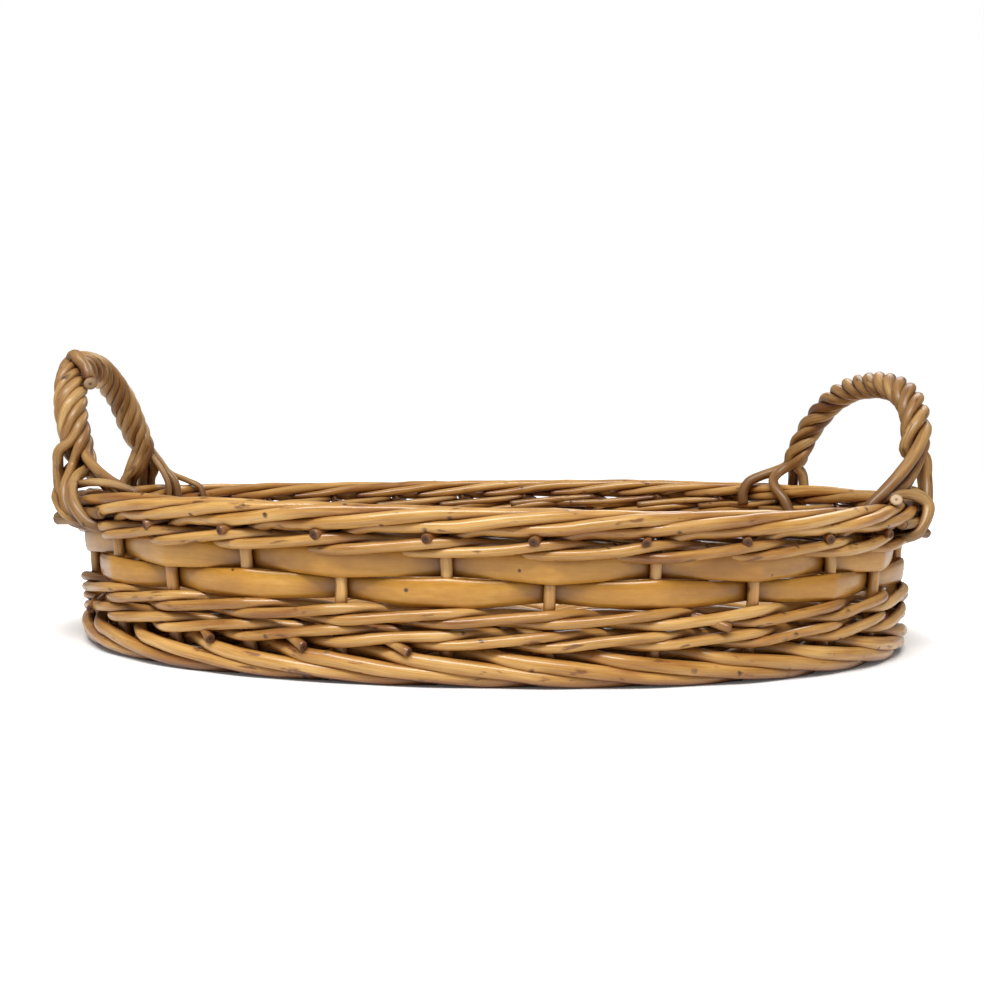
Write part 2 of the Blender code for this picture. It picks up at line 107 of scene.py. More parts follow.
# %% The oval
OVAL_FULLNESS = 2.1
OVAL_STEPS = 1440
WALL_LEAN = math.tan(math.radians(4.5))


def walked_along(line):
    """How far one has walked at each point of a line."""
    return np.concatenate([[0], np.cumsum(np.linalg.norm(np.diff(line, axis=0), axis=1))])


def walk_oval(half_length, half_width):
    """The oval at stake height, which way is out, and how far round each point is."""
    turn = np.linspace(0, 2 * math.pi, OVAL_STEPS, endpoint=False)
    across = np.abs(np.cos(turn) / half_length) ** OVAL_FULLNESS
    along = np.abs(np.sin(turn) / half_width) ** OVAL_FULLNESS
    radius = (across + along) ** (-1 / OVAL_FULLNESS)
    line = np.stack([radius * np.cos(turn), radius * np.sin(turn)], axis=1)
    run = np.roll(line, -1, axis=0) - np.roll(line, 1, axis=0)
    run /= np.linalg.norm(run, axis=1)[:, None]
    outward = np.stack([run[:, 1], -run[:, 0]], axis=1)
    line = np.vstack([line, line[:1]])
    outward = np.vstack([outward, outward[:1]])
    return line, outward, walked_along(line)


OVAL_LINE, OVAL_OUTWARD, OVAL_WALKED = walk_oval(HALF_LENGTH, HALF_WIDTH)
SPACING = OVAL_WALKED[-1] / STAKE_COUNT
print("one stake every", round(SPACING, 4), "m")

# %% [markdown]
# ## A hand-made rim
# No woven tray is quite level. The rim of this one dips at the front and rises at two
# corners by a millimetre or two, and the stakes aren't spaced quite evenly.
# A few slow waves round the oval give that.
# Seen in the photograph, the wales and strips also sit a little lower between foot and
# border than in the plain model. We let them sag there by up to 2.7 mm and keep rim and foot.

# %% The uneven rim and the wall itself
SAG_HEIGHTS = (0.0, 0.008, 0.017, 0.034, 0.045, 0.052, 0.057, 0.060, 0.064)
SAG_DEPTHS = (0.0, 0.0005, 0.0021, 0.0026, 0.0027, 0.0026, 0.0015, 0.0005, 0.0)
RIM_WAVE = np.array([0.0014, 0.0010, 0.0017, 0.0002])


def rim_wave(u):
    """How much higher the rim lies at stake u."""
    turn = 2 * math.pi * u / STAKE_COUNT
    waves = np.stack([np.sin(turn), np.cos(turn), np.sin(2 * turn), np.cos(2 * turn)], axis=-1)
    return waves @ RIM_WAVE


# How far some stakes stand beside their even place, as a share of the spacing.
STAKE_SHIFT_SHARES = {15: 0.10, 16: 0.04, 18: -0.03, 20: -0.03, 22: 0.03, 23: 0.03, 24: -0.09, 25: -0.06}
stake_shifts = np.array([STAKE_SHIFT_SHARES.get(k % STAKE_COUNT, 0.0) for k in range(STAKE_COUNT + 1)])


def wall(rows):
    """Places in the room for rows of (u, n, z)."""
    rows = np.asarray(rows, float)
    u, n, z = rows[..., 0], rows[..., 1], rows[..., 2]
    u = u + np.interp(u % STAKE_COUNT, range(STAKE_COUNT + 1), stake_shifts)
    walked = (u / STAKE_COUNT % 1) * OVAL_WALKED[-1]
    x, y = (np.interp(walked, OVAL_WALKED, OVAL_LINE[:, i]) for i in (0, 1))
    out_x, out_y = (np.interp(walked, OVAL_WALKED, OVAL_OUTWARD[:, i]) for i in (0, 1))
    n = n + WALL_LEAN * (z - LEAN_FROM)
    z = z - np.interp(z, SAG_HEIGHTS, SAG_DEPTHS)
    z = z + rim_wave(u) * z / RIM_TOP
    return np.stack([MIDDLE_X + x + n * out_x, y + n * out_y, z], axis=-1)


def wall_mm(rows):
    """The same for rows of (u, n, z) with n and z in millimetres."""
    return wall(np.array(rows) * (1, 0.001, 0.001))


FRONT_MIDDLE = 19.5
print("front middle of the rim is at", np.round(wall([FRONT_MIDDLE, 0, RIM_TOP]), 4))

# %% [markdown]
# ## Drawing a rod
# A willow rod bends smoothly through the weave. We give each rod a few places it must pass,
# lay a smooth curve through them, and sweep a round section along it.
# A Blender curve with a bevel would do that too, but we want more than a pipe: the rod
# swells at its buds, wanders a little, tapers, and ends in a slanting cut. So we sweep our
# own rings of points. Each point also remembers where it sits in the wood: that lets the
# grain run along every rod, however it bends.

# %% A smooth line through a few places
def smooth_line(places, pace):
    """Even points on a smooth curve through the places."""
    places = np.asarray(places, float)
    gaps = np.linalg.norm(np.diff(places, axis=0), axis=1)
    stops = np.concatenate([[0], np.cumsum(np.maximum(gaps, 1e-6))])
    slopes = np.gradient(places, stops, axis=0)
    fine = np.linspace(0, stops[-1], max(8, int(3 * stops[-1] / pace)))
    i = np.clip(np.searchsorted(stops, fine, side="right") - 1, 0, len(stops) - 2)
    width = (stops[i + 1] - stops[i])[:, None]
    t = ((fine - stops[i])[:, None]) / width
    ahead = (1 + 2 * t) * (1 - t) ** 2 * places[i] + t * (1 - t) ** 2 * width * slopes[i]
    back = t ** 2 * (3 - 2 * t) * places[i + 1] + t ** 2 * (t - 1) * width * slopes[i + 1]
    return even_pace(ahead + back, pace)


def even_pace(line, pace):
    """The same line with a point at every pace."""
    walked = walked_along(line)
    stops = np.linspace(0, walked[-1], max(4, int(round(walked[-1] / pace)) + 1))
    return np.stack([np.interp(stops, walked, line[:, i]) for i in range(3)], axis=1)


# %% How a rod wanders
WAVE_SHARES = (1.0, 0.55, 0.31)


def wander(chance, stops, size, wave):
    """A slow random wave along the stops."""
    total = np.zeros(len(stops))
    for share in WAVE_SHARES:
        turns = stops / (wave * share * chance.uniform(0.8, 1.2)) + chance.random()
        total += share * np.sin(2 * math.pi * turns)
    return size * total / 1.5


# %% Rings of points round a line
def ring_frames(line):
    """Which way the line runs at each ring, and two directions across it."""
    ahead = np.gradient(line, axis=0)
    ahead /= np.linalg.norm(ahead, axis=1)[:, None]
    sides = np.zeros_like(line)
    side = np.cross(ahead[0], (0.0, 0.0, 1.0))
    if np.linalg.norm(side) < 0.1:
        side = np.cross(ahead[0], (1.0, 0.0, 0.0))
    for i, direction in enumerate(ahead):
        side = side - direction * side.dot(direction)
        side /= np.linalg.norm(side)
        sides[i] = side
    return ahead, sides, np.cross(ahead, sides)


def ring_faces(count, corners, closed=False):
    """Four-sided faces between each ring and the next."""
    faces = []
    for i in range(count if closed else count - 1):
        a, b = i * corners, (i + 1) % count * corners
        for k in range(corners):
            m = (k + 1) % corners
            faces.append((a + k, a + m, b + m, b + k))
    return faces


# %% Buds on a rod
BUD_SPACING = 0.038
BUD_LENGTH = 0.0016
BUD_RISE_SHARE = 0.10
BUD_BLACK_SHARE = 0.7


def swell_buds(stops, turn, chance, buds):
    """How far each point swells at the buds, and how black it is there."""
    swell = np.ones((len(stops), len(turn)))
    black = np.zeros((len(stops), len(turn)))
    bud_at = BUD_SPACING * chance.uniform(0.2, 0.9)
    while buds and bud_at < stops[-1]:
        away = (stops - bud_at) / BUD_LENGTH
        facing = np.clip(np.cos(turn - chance.uniform(0, 2 * math.pi)), 0, 1) ** 3
        swell += BUD_RISE_SHARE * np.outer(np.exp(-(away ** 2)), facing)
        black += np.outer(np.exp(-((away / BUD_BLACK_SHARE) ** 2)), facing ** 3)
        bud_at += BUD_SPACING * chance.uniform(0.5, 1.6)
    return swell, black


# %% The cut ends of a rod
CUT_ROUND_SHARE = 0.12
CUT_RINGS = ((0.86, 1.0), (0.30, 1.15))
CUT_HUB_RISE = 0.8


def cut_end(rim, edge, base, lift, outward):
    """Points, heart marks and faces of a slightly domed cut that closes one end."""
    corners = len(rim)
    middle = rim.mean(axis=0)
    points, hearts, faces = [], [], []
    for share, push in CUT_RINGS:
        points += [middle + share * (corner - middle) + push * lift for corner in rim]
        hearts += [share] * corners
    points.append(middle + CUT_HUB_RISE * lift)
    hearts.append(0.0)
    outer, inner, hub = base, base + corners, base + 2 * corners
    for k in range(corners):
        m = (k + 1) % corners
        faces.append((edge + k, edge + m, outer + m, outer + k))
        faces.append((outer + k, outer + m, inner + m, inner + k))
        faces.append((inner + k, inner + m, hub))
    return points, hearts, [face if outward > 0 else face[::-1] for face in faces]


# %% Sweeping one rod
GIRTH_WANDER, GIRTH_WAVE = 0.03, 0.045
OUT_OF_ROUND = 0.035
GRAIN_ROOM = 40


def sweep_rod(line, radii, seed, corners=12, slants=(0.3, 0.3), buds=True, worn_ends=0.012):
    """A rod's points, faces and cut faces, and what each point remembers of the wood."""
    chance = np.random.default_rng(seed)
    count = len(line)
    stops = walked_along(line)
    ahead, side, across = ring_frames(line)
    radii = radii * (1 + wander(chance, stops, GIRTH_WANDER, GIRTH_WAVE))
    turn = np.linspace(0, 2 * math.pi, corners, endpoint=False)
    oval = 1 + OUT_OF_ROUND * np.cos(2 * (turn + chance.uniform(0, math.pi)))
    swell, black = swell_buds(stops, turn, chance, buds)
    reach = radii[:, None] * oval * swell
    out, up = reach * np.cos(turn), reach * np.sin(turn)
    rings = line[:, None] + out[:, :, None] * side[:, None] + up[:, :, None] * across[:, None]
    for end, slant in ((0, slants[0]), (-1, slants[1])):
        rings[end] += (slant * radii[end] * np.cos(turn))[:, None] * ahead[end]
    along = np.repeat(stops[:, None], corners, axis=1)
    # On rods this mark is real wear: the wood darkens towards each cut end.
    wear_and_shade = np.exp(-np.minimum(along, stops[-1] - along) / worn_ends)
    body = rings.reshape(-1, 3)
    caps, hearts, cut_faces = [], [], []
    for end, outward in ((0, -1), (count - 1, 1)):
        lift = outward * CUT_ROUND_SHARE * radii[end] * ahead[end]
        cap = cut_end(rings[end], end * corners, len(body) + len(caps), lift, outward)
        caps += cap[0]
        hearts += cap[1]
        cut_faces += cap[2]
    grain = np.stack([out, up, along], axis=-1).reshape(-1, 3)
    grain = np.vstack([grain, np.outer(hearts, (1, 0, 0))]) + chance.uniform(0, GRAIN_ROOM, 3)
    return {
        "points": np.vstack([body, caps]), "faces": ring_faces(count, corners),
        "cut_faces": cut_faces, "grain": grain, "heart": np.append(np.ones(len(body)), hearts),
        "wear_and_shade": np.append(wear_and_shade, np.ones(len(caps))), "bud": np.append(black, np.zeros(len(caps))),
        "tint": np.full(len(grain), chance.random()),
    }


def rod_through(rows, pace, thick, seed, **looks):
    """A rod swept through rows of stake number, and out and up in millimetres."""
    return sweep_rod(smooth_line(wall_mm(rows), pace), thick / 2, seed, **looks)


# %% Turning swept rods into a Blender object
MARKS = ("heart", "wear_and_shade", "bud", "tint")


def new_object(name, data):
    """An object that holds the data, placed in the scene."""
    item = bpy.data.objects.new(name, data)
    bpy.context.scene.collection.objects.link(item)
    return item


def add_marks(mesh, marks):
    """Let each point of the mesh remember its place in the wood."""
    for name in MARKS:
        values = mesh.attributes.new(name, "FLOAT", "POINT").data
        values.foreach_set("value", marks[name].astype(np.float32))
    grain = mesh.attributes.new("grain", "FLOAT_VECTOR", "POINT")
    grain.data.foreach_set("vector", marks["grain"].astype(np.float32).ravel())


def willow_piece(name, rods, finishes, nodes=()):
    """One object from one or more swept rods, riding on the tray."""
    keys = ("points", "grain", *MARKS)
    joined = {key: np.concatenate([part[key] for part in rods]) for key in keys}
    faces, slots, base = [], [], 0
    for part in rods:
        for material_index, key in ((0, "faces"), (1, "cut_faces")):
            for face in part[key]:
                faces.append(tuple(base + corner for corner in face))
                slots.append(material_index)
        base += len(part["points"])
    joined["points"][:, 2] = np.maximum(joined["points"][:, 2], 0)
    mesh = bpy.data.meshes.new(name)
    mesh.from_pydata(joined["points"].tolist(), [], faces)
    mesh.polygons.foreach_set("material_index", slots)
    mesh.polygons.foreach_set("use_smooth", [True] * len(faces))
    add_marks(mesh, joined)
    for finish in finishes:
        mesh.materials.append(finish)
    piece = new_object(name, mesh)
    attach(piece, "root")
    if nodes:
        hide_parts(*nodes)


# %% [markdown]
# ## The colour of varnished willow
# Peeled willow is pale, and years of varnish turn it golden brown. Seen close, fine fibres
# run along each rod, with redder blotches where the bark stayed on, black dots at the buds,
# and darker wood towards each cut end. Each rod also has its own shade.
# A picture wrapped round the rods would repeat. Noise in the wood's own coordinates never
# does, so we stretch noise along the grain that each point remembers.

# %% Nodes with less typing
WHITE = (1.0, 1.0, 1.0)
BLACK = (0.0, 0.0, 0.0)
SPECULAR = 0.4


def wire(tree, node, inputs):
    """Set values on a node's sockets, or link other nodes' outputs to them."""
    for socket, value in inputs.items():
        if isinstance(value, bpy.types.NodeSocket):
            tree.links.new(value, node.inputs[socket])
        else:
            node.inputs[socket].default_value = value
    return node


def add_node(tree, kind, inputs, **settings):
    node = tree.nodes.new("ShaderNode" + kind)
    for name, value in settings.items():
        setattr(node, name, value)
    return wire(tree, node, inputs)


def new_material(name, roughness, coat, gloss):
    """A material, its node tree and its surface shader."""
    material = bpy.data.materials.new(name)
    material.use_nodes = True
    surface = material.node_tree.nodes["Principled BSDF"]
    wire(material.node_tree, surface, {
        "Roughness": roughness, "Coat Weight": coat, "Coat Roughness": gloss,
        "Specular IOR Level": SPECULAR})
    return material, material.node_tree, surface


# %% Small helpers for materials
def mark(tree, name):
    """What each point remembers under this name."""
    node = add_node(tree, "Attribute", {}, attribute_name=name)
    return node.outputs["Vector" if name == "grain" else "Fac"]


def stretched_noise(tree, grain, stretch, detail, offset=0.0):
    """Noise stretched along the wood, with three scales for out, up and along."""
    place = add_node(tree, "Mapping", {"Vector": grain, "Scale": stretch, "Location": (offset,) * 3})
    noise = {"Vector": place.outputs["Vector"], "Scale": 1.0, "Detail": detail}
    return add_node(tree, "TexNoise", noise).outputs["Fac"]


def ramp(tree, source, stops):
    """Colours for a value from 0 to 1."""
    node = add_node(tree, "ValToRGB", {"Fac": source})
    line = node.color_ramp
    while len(line.elements) < len(stops):
        line.elements.new(0.5)
    for element, (place, colour) in zip(line.elements, stops):
        element.position = place
        element.color = (*colour, 1)
    return node.outputs["Color"]


def blend_colours(tree, share, first, second, kind="MIX", strength=1.0):
    """Mix two colours. Each of them, and the share, may come from another node."""
    if strength != 1.0:
        share = add_node(tree, "Math", {0: share, 1: strength}, operation="MULTIPLY").outputs[0]
    first, second = ((*colour, 1) if isinstance(colour, tuple) else colour for colour in (first, second))
    mixed = {0: share, 6: first, 7: second}
    return add_node(tree, "Mix", mixed, data_type="RGBA", blend_type=kind).outputs[2]


def shade(tree, colour, source, stops, share=1.0):
    """The colour, multiplied by a ramp."""
    return blend_colours(tree, share, colour, ramp(tree, source, stops), "MULTIPLY")


def raise_grain(tree, surface, layers):
    """Bumps over each other, from rows of source, strength and height in metres."""
    below = {}
    for source, strength, height in layers:
        bump = {"Height": source, "Strength": strength, "Distance": height, **below}
        below = {"Normal": add_node(tree, "Bump", bump).outputs["Normal"]}
    wire(tree, surface, below)


# %% Painted shade in the corners
# Painted shade: how far the occlusion looks, and the dark colours it multiplies in where little light
# reaches.
PAINTED_SHADE_REACH = 0.006
PAINTED_SHADE_STOPS = ((0.05, (0.16, 0.080, 0.035)), (0.45, (0.60, 0.46, 0.34)), (0.88, WHITE))


def painted_shade_in_corners(tree, colour):
    """Painted shade: the colour darkens where rods lie close together, by ambient occlusion."""
    corner = add_node(tree, "AmbientOcclusion", {"Distance": PAINTED_SHADE_REACH}, samples=8)
    return shade(tree, colour, corner.outputs["AO"], PAINTED_SHADE_STOPS)


# %% The willow finish
ROD_SHADES = ((0.0, (0.74, 0.64, 0.52)), (0.45, WHITE), (1.0, (1.14, 1.18, 1.28)))
FIBRE_SHADES = ((0.35, (0.74, 0.68, 0.60)), (0.62, (1.08, 1.08, 1.08)))
BUD_BLACK = (0.045, 0.018, 0.007)


def willow_finish(name, pale, middle, deep, blotch, roughness=0.40, coat=0.55, gloss=0.16, fibre=1.0):
    """Pale, middle and deep wood in slow streaks, with fibres, blotches and black buds, and painted shade
    where rods lie close.
    """
    material, tree, surface = new_material(name, roughness, coat, gloss)
    grain = mark(tree, "grain")
    slow = stretched_noise(tree, grain, (160, 160, 28), 3.0)
    colour = ramp(tree, slow, ((0.30, deep), (0.48, middle), (0.68, pale)))
    colour = shade(tree, colour, mark(tree, "tint"), ROD_SHADES)
    fibres = stretched_noise(tree, grain, (2600, 2600, 60), 4.0, 3.0)
    colour = shade(tree, colour, fibres, FIBRE_SHADES, 0.75 * fibre)
    patches = stretched_noise(tree, grain, (330, 330, 95), 4.0, 11.0)
    patch = ramp(tree, patches, ((0.63, BLACK), (0.70, WHITE)))
    colour = blend_colours(tree, patch, colour, blotch, strength=0.75)
    # Real wear: the rod darkens towards each cut end.
    colour = blend_colours(tree, mark(tree, "wear_and_shade"), colour, blotch, strength=0.8)
    bud = ramp(tree, mark(tree, "bud"), ((0.25, BLACK), (0.6, WHITE)))
    colour = blend_colours(tree, bud, colour, BUD_BLACK, strength=0.9)
    limits = {"Value": fibres, "To Min": roughness - 0.10, "To Max": roughness + 0.14}
    rough = add_node(tree, "MapRange", limits).outputs["Result"]
    # The base colour gets painted shade where rods lie close together.
    wire(tree, surface, {"Base Color": painted_shade_in_corners(tree, colour), "Roughness": rough})
    raise_grain(tree, surface, ((slow, 0.35, 0.0006), (fibres, 0.30, 0.00015)))
    return material


PEELED = willow_finish(
    "peeled willow", (0.68, 0.395, 0.120), (0.54, 0.280, 0.064), (0.35, 0.140, 0.026),
    (0.15, 0.040, 0.010))
THIN = willow_finish(
    "thin peeled willow", (0.67, 0.395, 0.125), (0.53, 0.280, 0.068), (0.32, 0.130, 0.026),
    (0.12, 0.036, 0.010))
ROPED = willow_finish(
    "roped willow", (0.62, 0.395, 0.150), (0.43, 0.240, 0.076), (0.23, 0.098, 0.024),
    (0.10, 0.034, 0.010), roughness=0.50, coat=0.35, gloss=0.27, fibre=1.3)
print("finishes:", PEELED.name, THIN.name, ROPED.name)

# %% The cut ends
SPECKLE = ((0.35, (0.65, 0.55, 0.45)), (0.65, WHITE))


def cut_finish(name, pale, ring, pith):
    """Pith in the middle, pale wood round it and a darker ring under the bark."""
    material, tree, surface = new_material(name, 0.7, 0.0, 0.3)
    stops = ((0.0, pith), (0.16, pith), (0.30, pale), (0.72, pale), (0.95, ring))
    colour = ramp(tree, mark(tree, "heart"), stops)
    spots = stretched_noise(tree, mark(tree, "grain"), (9, 9, 9), 3.0)
    wire(tree, surface, {"Base Color": shade(tree, colour, spots, SPECKLE, 0.6)})
    return material


CUT = cut_finish("cut willow end", (0.36, 0.200, 0.085), (0.15, 0.060, 0.020), (0.06, 0.022, 0.010))
PALE_CUT = cut_finish("pale frayed end", (0.66, 0.50, 0.33), (0.40, 0.24, 0.11), (0.30, 0.17, 0.08))
BUTT = cut_finish("dark butt end", (0.110, 0.045, 0.018), (0.22, 0.100, 0.035), (0.020, 0.008, 0.004))
print("cut ends:", CUT.name, PALE_CUT.name, BUTT.name)

# %% [markdown]
# ## Stakes: foot, upright and border in one rod
# Each stake is one rod. Its thick end weaves the foot: behind the next stake, out below the
# wale, and down across the two stakes after that. Its middle stands upright. Its top is laid
# down to the right and turns once round the rim together with four neighbours.
# We could model foot and border as one big ring each, but then no rod would start or end.
# So all 26 rods follow the same table of places, each with a little wander of its own.

# %% Places on the way of a stake rod
FOOT_ROD = 0.0057
STAKE_ROD = 0.0046
BORDER_ROD = 0.0049
FOOT_SHARES = (
    (3.87, 0.10, 0.50), (3.50, 0.58, 0.52), (3.00, 0.93, 0.78), (2.50, 1.04, 1.20),
    (2.00, 1.02, 1.72), (1.60, 0.72, 2.12), (1.36, 0.00, 2.45), (1.18, -0.70, 2.42),
    (0.98, -0.98, 1.95), (0.62, -0.92, 1.10), (0.30, -0.55, 0.72), (0.06, -0.08, 0.95),
)
STAKE_HEIGHT_SHARES = (0.17, 0.30, 0.50, 0.68, 0.80)
BORDER_STRANDS = 5
BORDER_WIDE = 0.0056
BORDER_FLAT = 0.0031
BORDER_MIDDLE = RIM_TOP - BORDER_FLAT - BORDER_ROD / 2
BORDER_START_SHARE = 0.72
BORDER_START, BORDER_END = 0.30, 4.55
BORDER_STEP = 0.2
PACE = 0.0017


def flat_round(wide, flat, steps=180):
    """The flattened loop that a border rod makes, seen end on."""
    turn = np.linspace(0, 2 * math.pi, steps + 1)
    out, up = wide * np.cos(turn), flat * np.sin(turn)
    walked = walked_along(np.stack([out, up], axis=1))
    return walked / walked[-1], out, up


ROUND_WALKED, ROUND_OUT, ROUND_UP = flat_round(BORDER_WIDE, BORDER_FLAT)
BORDER_OUT = -np.interp(BORDER_START_SHARE, ROUND_WALKED, ROUND_OUT)


def border_rows(stake, end):
    """Places of the laid-down top, turning with its four neighbours."""
    along = np.linspace(BORDER_START, end, int((end - BORDER_START) / BORDER_STEP) + 1)
    walked = (BORDER_START_SHARE + along / BORDER_STRANDS) % 1
    out = BORDER_OUT + np.interp(walked, ROUND_WALKED, ROUND_OUT)
    up = BORDER_MIDDLE + np.interp(walked, ROUND_WALKED, ROUND_UP)
    return np.stack([stake + along, out, up], axis=1)


def stake_rows(stake, chance):
    """Foot, upright and border of one rod, each place a little off by chance."""
    foot = np.array(FOOT_SHARES) * (1, FOOT_ROD, FOOT_ROD) + (stake, 0, 0)
    foot[1:-1, 1] += chance.normal(0, 0.03, len(foot) - 2) * FOOT_ROD
    foot[2:-1, 2] += chance.normal(0, 0.035, len(foot) - 3) * FOOT_ROD
    foot[0, 0] += chance.normal(0, 0.05)
    upright = np.array([(stake, 0, share * RIM_TOP) for share in STAKE_HEIGHT_SHARES])
    upright[1:-1, 0] += chance.normal(0, 0.010, len(upright) - 2)
    border = border_rows(stake, BORDER_END + chance.normal(0, 0.05))
    border[:, 1] += wander(chance, border[:, 0] * SPACING, 0.07 * BORDER_ROD, 0.09)
    border[:, 2] += wander(chance, border[:, 0] * SPACING, 0.06 * BORDER_ROD, 0.07)
    return np.vstack([foot, upright, border])


# %% All the stake rods
TAPER_STOPS = (0.0, 0.33, 0.42, 0.50, 0.56, 0.95, 1.0)


def taper(line):
    """Half the rod's thickness along the way: thick foot, upright, then the border."""
    between = 0.5 * (FOOT_ROD + STAKE_ROD)
    sizes = (FOOT_ROD, FOOT_ROD, between, STAKE_ROD, BORDER_ROD, BORDER_ROD, 0.85 * BORDER_ROD)
    return np.interp(np.linspace(0, 1, len(line)), TAPER_STOPS, sizes) / 2


for stake, node in enumerate(stake_names):
    chance = dice("stake", stake)[1]
    line = smooth_line(wall(stake_rows(stake, chance)), PACE)
    girth = taper(line) * chance.uniform(0.95, 1.05)
    swept = sweep_rod(line, girth, SEEDS["stake rod"] + stake, corners=14, slants=(0.5, 0.3))
    willow_piece(f"rod_{stake + 1:02d}", [swept], (PEELED, CUT), (node,))
print("wove", len(stake_names), "stake rods")

# %% [markdown]
# ## Wales: three thin rods worked round the stakes
# In a three-rod wale each thin rod passes in front of two stakes and behind the third, and
# the three take turns. That makes the slanting strokes above and below the flat strips.
# One stroke is a short table of places, and a smooth wave through it repeats round the tray.

# %% One wale rod
WALE_ROD = 0.0043
WALE_STROKE_SHARES = (
    (0.45, -1.0, -0.85), (1.00, 1.0, -1.0), (1.50, 1.08, 0.0), (2.00, 1.0, 1.0), (2.55, -1.0, 0.85))
WALE_PERIOD = 3
WALE_REACH = (STAKE_ROD + WALE_ROD) / 2
WALE_JOIN = 0.5


def wale_rows(first, strand, middle, rise, chance):
    """One thin rod's way, cut where it has gone once round the tray."""
    starts = [turn * WALE_PERIOD - strand for turn in range(-1, STAKE_COUNT // WALE_PERIOD + 3)]
    rows = np.array([
        (start + along, out * WALE_REACH, middle + up * rise)
        for start in starts for along, out, up in WALE_STROKE_SHARES])
    rows[:, 1] += chance.normal(0, 0.05, len(rows)) * WALE_ROD
    rows[:, 2] += chance.normal(0, 0.06, len(rows)) * WALE_ROD
    last = first + STAKE_COUNT
    inside = rows[(rows[:, 0] > first) & (rows[:, 0] < last)]
    ends = [[u] + [np.interp(u, rows[:, 0], rows[:, i]) for i in (1, 2)] for u in (first, last)]
    return np.vstack([ends[:1], inside, ends[1:]])


def make_wale(title, nodes, middle, rise, first):
    """The three thin rods of one row."""
    for strand in range(WALE_PERIOD):
        seed = int(middle * 1e5) + strand
        chance = np.random.default_rng(seed)
        line = smooth_line(wall(wale_rows(first + WALE_JOIN, strand, middle, rise, chance)), PACE)
        girth = WALE_ROD / 2 * (1 + wander(chance, np.linspace(0, 1, len(line)), 0.05, 0.35))
        swept = sweep_rod(line, girth, SEEDS["wale"] + seed, corners=12)
        name = f"{title}_{strand + 1}"
        willow_piece(name, [swept], (THIN, CUT), (f"{nodes}_{strand + 1}",))


# %% The three rows of wale
LOWER_LIFT = 0.0014
SECOND_LIFT = 0.0018
UPPER_LIFT = 0.0007
LOWER_RISE = 0.0022
UPPER_RISE = 0.0017
make_wale("lower_wale_a", "lower_wale_row1", LOWER_WALE + LOWER_LIFT, LOWER_RISE, 3)
make_wale("lower_wale_b", "lower_wale_row2", SECOND_WALE + SECOND_LIFT, LOWER_RISE, 8)
make_wale("upper_wale_rods", "upper_wale", UPPER_WALE + UPPER_LIFT, UPPER_RISE, 5)
print("wove three rows of wale")

# %% [markdown]
# ## The flat split strips
# Two strips split from a thick rod go round the middle of the wall, each over one stake and
# under the next. Where a strip lies outside it spreads to its full width and bends softly
# over the stake behind it. Where it slips behind a stake it is squeezed narrow, and painted
# shade darkens it there.
# We loft one flat section round the oval, and let its width follow the weave.

# %% The split strip finish
def strip_finish(name):
    """Golden split wood: slow streaks, mottling, fine fibres and a few dark dots, with painted shade
    behind the stakes and where parts lie close.
    """
    material, tree, surface = new_material(name, 0.36, 0.45, 0.18)
    grain = mark(tree, "grain")
    slow = stretched_noise(tree, grain, (120, 120, 26), 3.0)
    golds = ((0.30, (0.43, 0.190, 0.022)), (0.50, (0.56, 0.268, 0.034)), (0.72, (0.68, 0.360, 0.066)))
    colour = ramp(tree, slow, golds)
    mottle = stretched_noise(tree, grain, (500, 500, 240), 3.0, 5.0)
    mottled = ((0.32, (0.88, 0.82, 0.70)), (0.62, (1.05, 1.05, 1.05)))
    colour = shade(tree, colour, mottle, mottled, 0.5)
    fibres = stretched_noise(tree, grain, (2200, 2200, 50), 3.0, 9.0)
    streaks = ((0.35, (0.86, 0.80, 0.72)), (0.62, (1.04, 1.04, 1.04)))
    colour = shade(tree, colour, fibres, streaks, 0.35)
    dots = add_node(tree, "TexVoronoi", {"Vector": grain, "Scale": 55.0, "Randomness": 1.0})
    dot = ramp(tree, dots.outputs["Distance"], ((0.035, WHITE), (0.055, BLACK)))
    colour = blend_colours(tree, dot, colour, (0.05, 0.020, 0.008), strength=0.9)
    # Painted shade: darker brown where the strip goes behind a stake.
    colour = blend_colours(tree, mark(tree, "wear_and_shade"), colour, (0.20, 0.085, 0.022), strength=0.75)
    # The base colour gets painted shade where the strip lies close to other rods.
    wire(tree, surface, {"Base Color": painted_shade_in_corners(tree, colour)})
    raise_grain(tree, surface, ((mottle, 0.20, 0.0002),))
    return material


STRIP = strip_finish("split willow strip")
print("finish:", STRIP.name)

# %% Lofting a strip round the oval
STRIP_FULL = 0.0125
STRIP_TUCKED = 0.0094
STRIP_THICK = 0.0019
STRIP_JOINT_HEIGHT = 0.0446
STRIP_STEPS = 24
CREASE_SOFTNESS = 0.10
STRIP_PEAK = 0.0015
STRIP_HALF_GAP = 0.0003
WIDTH_WANDER, WIDTH_WAVE = 0.03, 2.7
HEIGHT_WANDER, HEIGHT_WAVE = 0.0003, 3.4
TUCK_SHADE_FROM, TUCK_SHADE_POWER = 0.15, 1.2
SECTION_SHARES = (
    (-0.50, -0.5), (-0.46, 0.10), (-0.30, 0.40), (0.0, 0.5), (0.30, 0.40), (0.46, 0.10),
    (0.50, -0.5), (0.25, -0.5), (-0.25, -0.5))


def strip_wave(u, first):
    """+1 where the strip lies outside a stake, -1 behind one, straight between, soft at the turns."""
    turned = np.abs((u + first) % 2 - 1)
    straight = 2 * turned - 1
    return np.sin(straight * math.pi / 2) * CREASE_SOFTNESS + straight * (1 - CREASE_SOFTNESS)


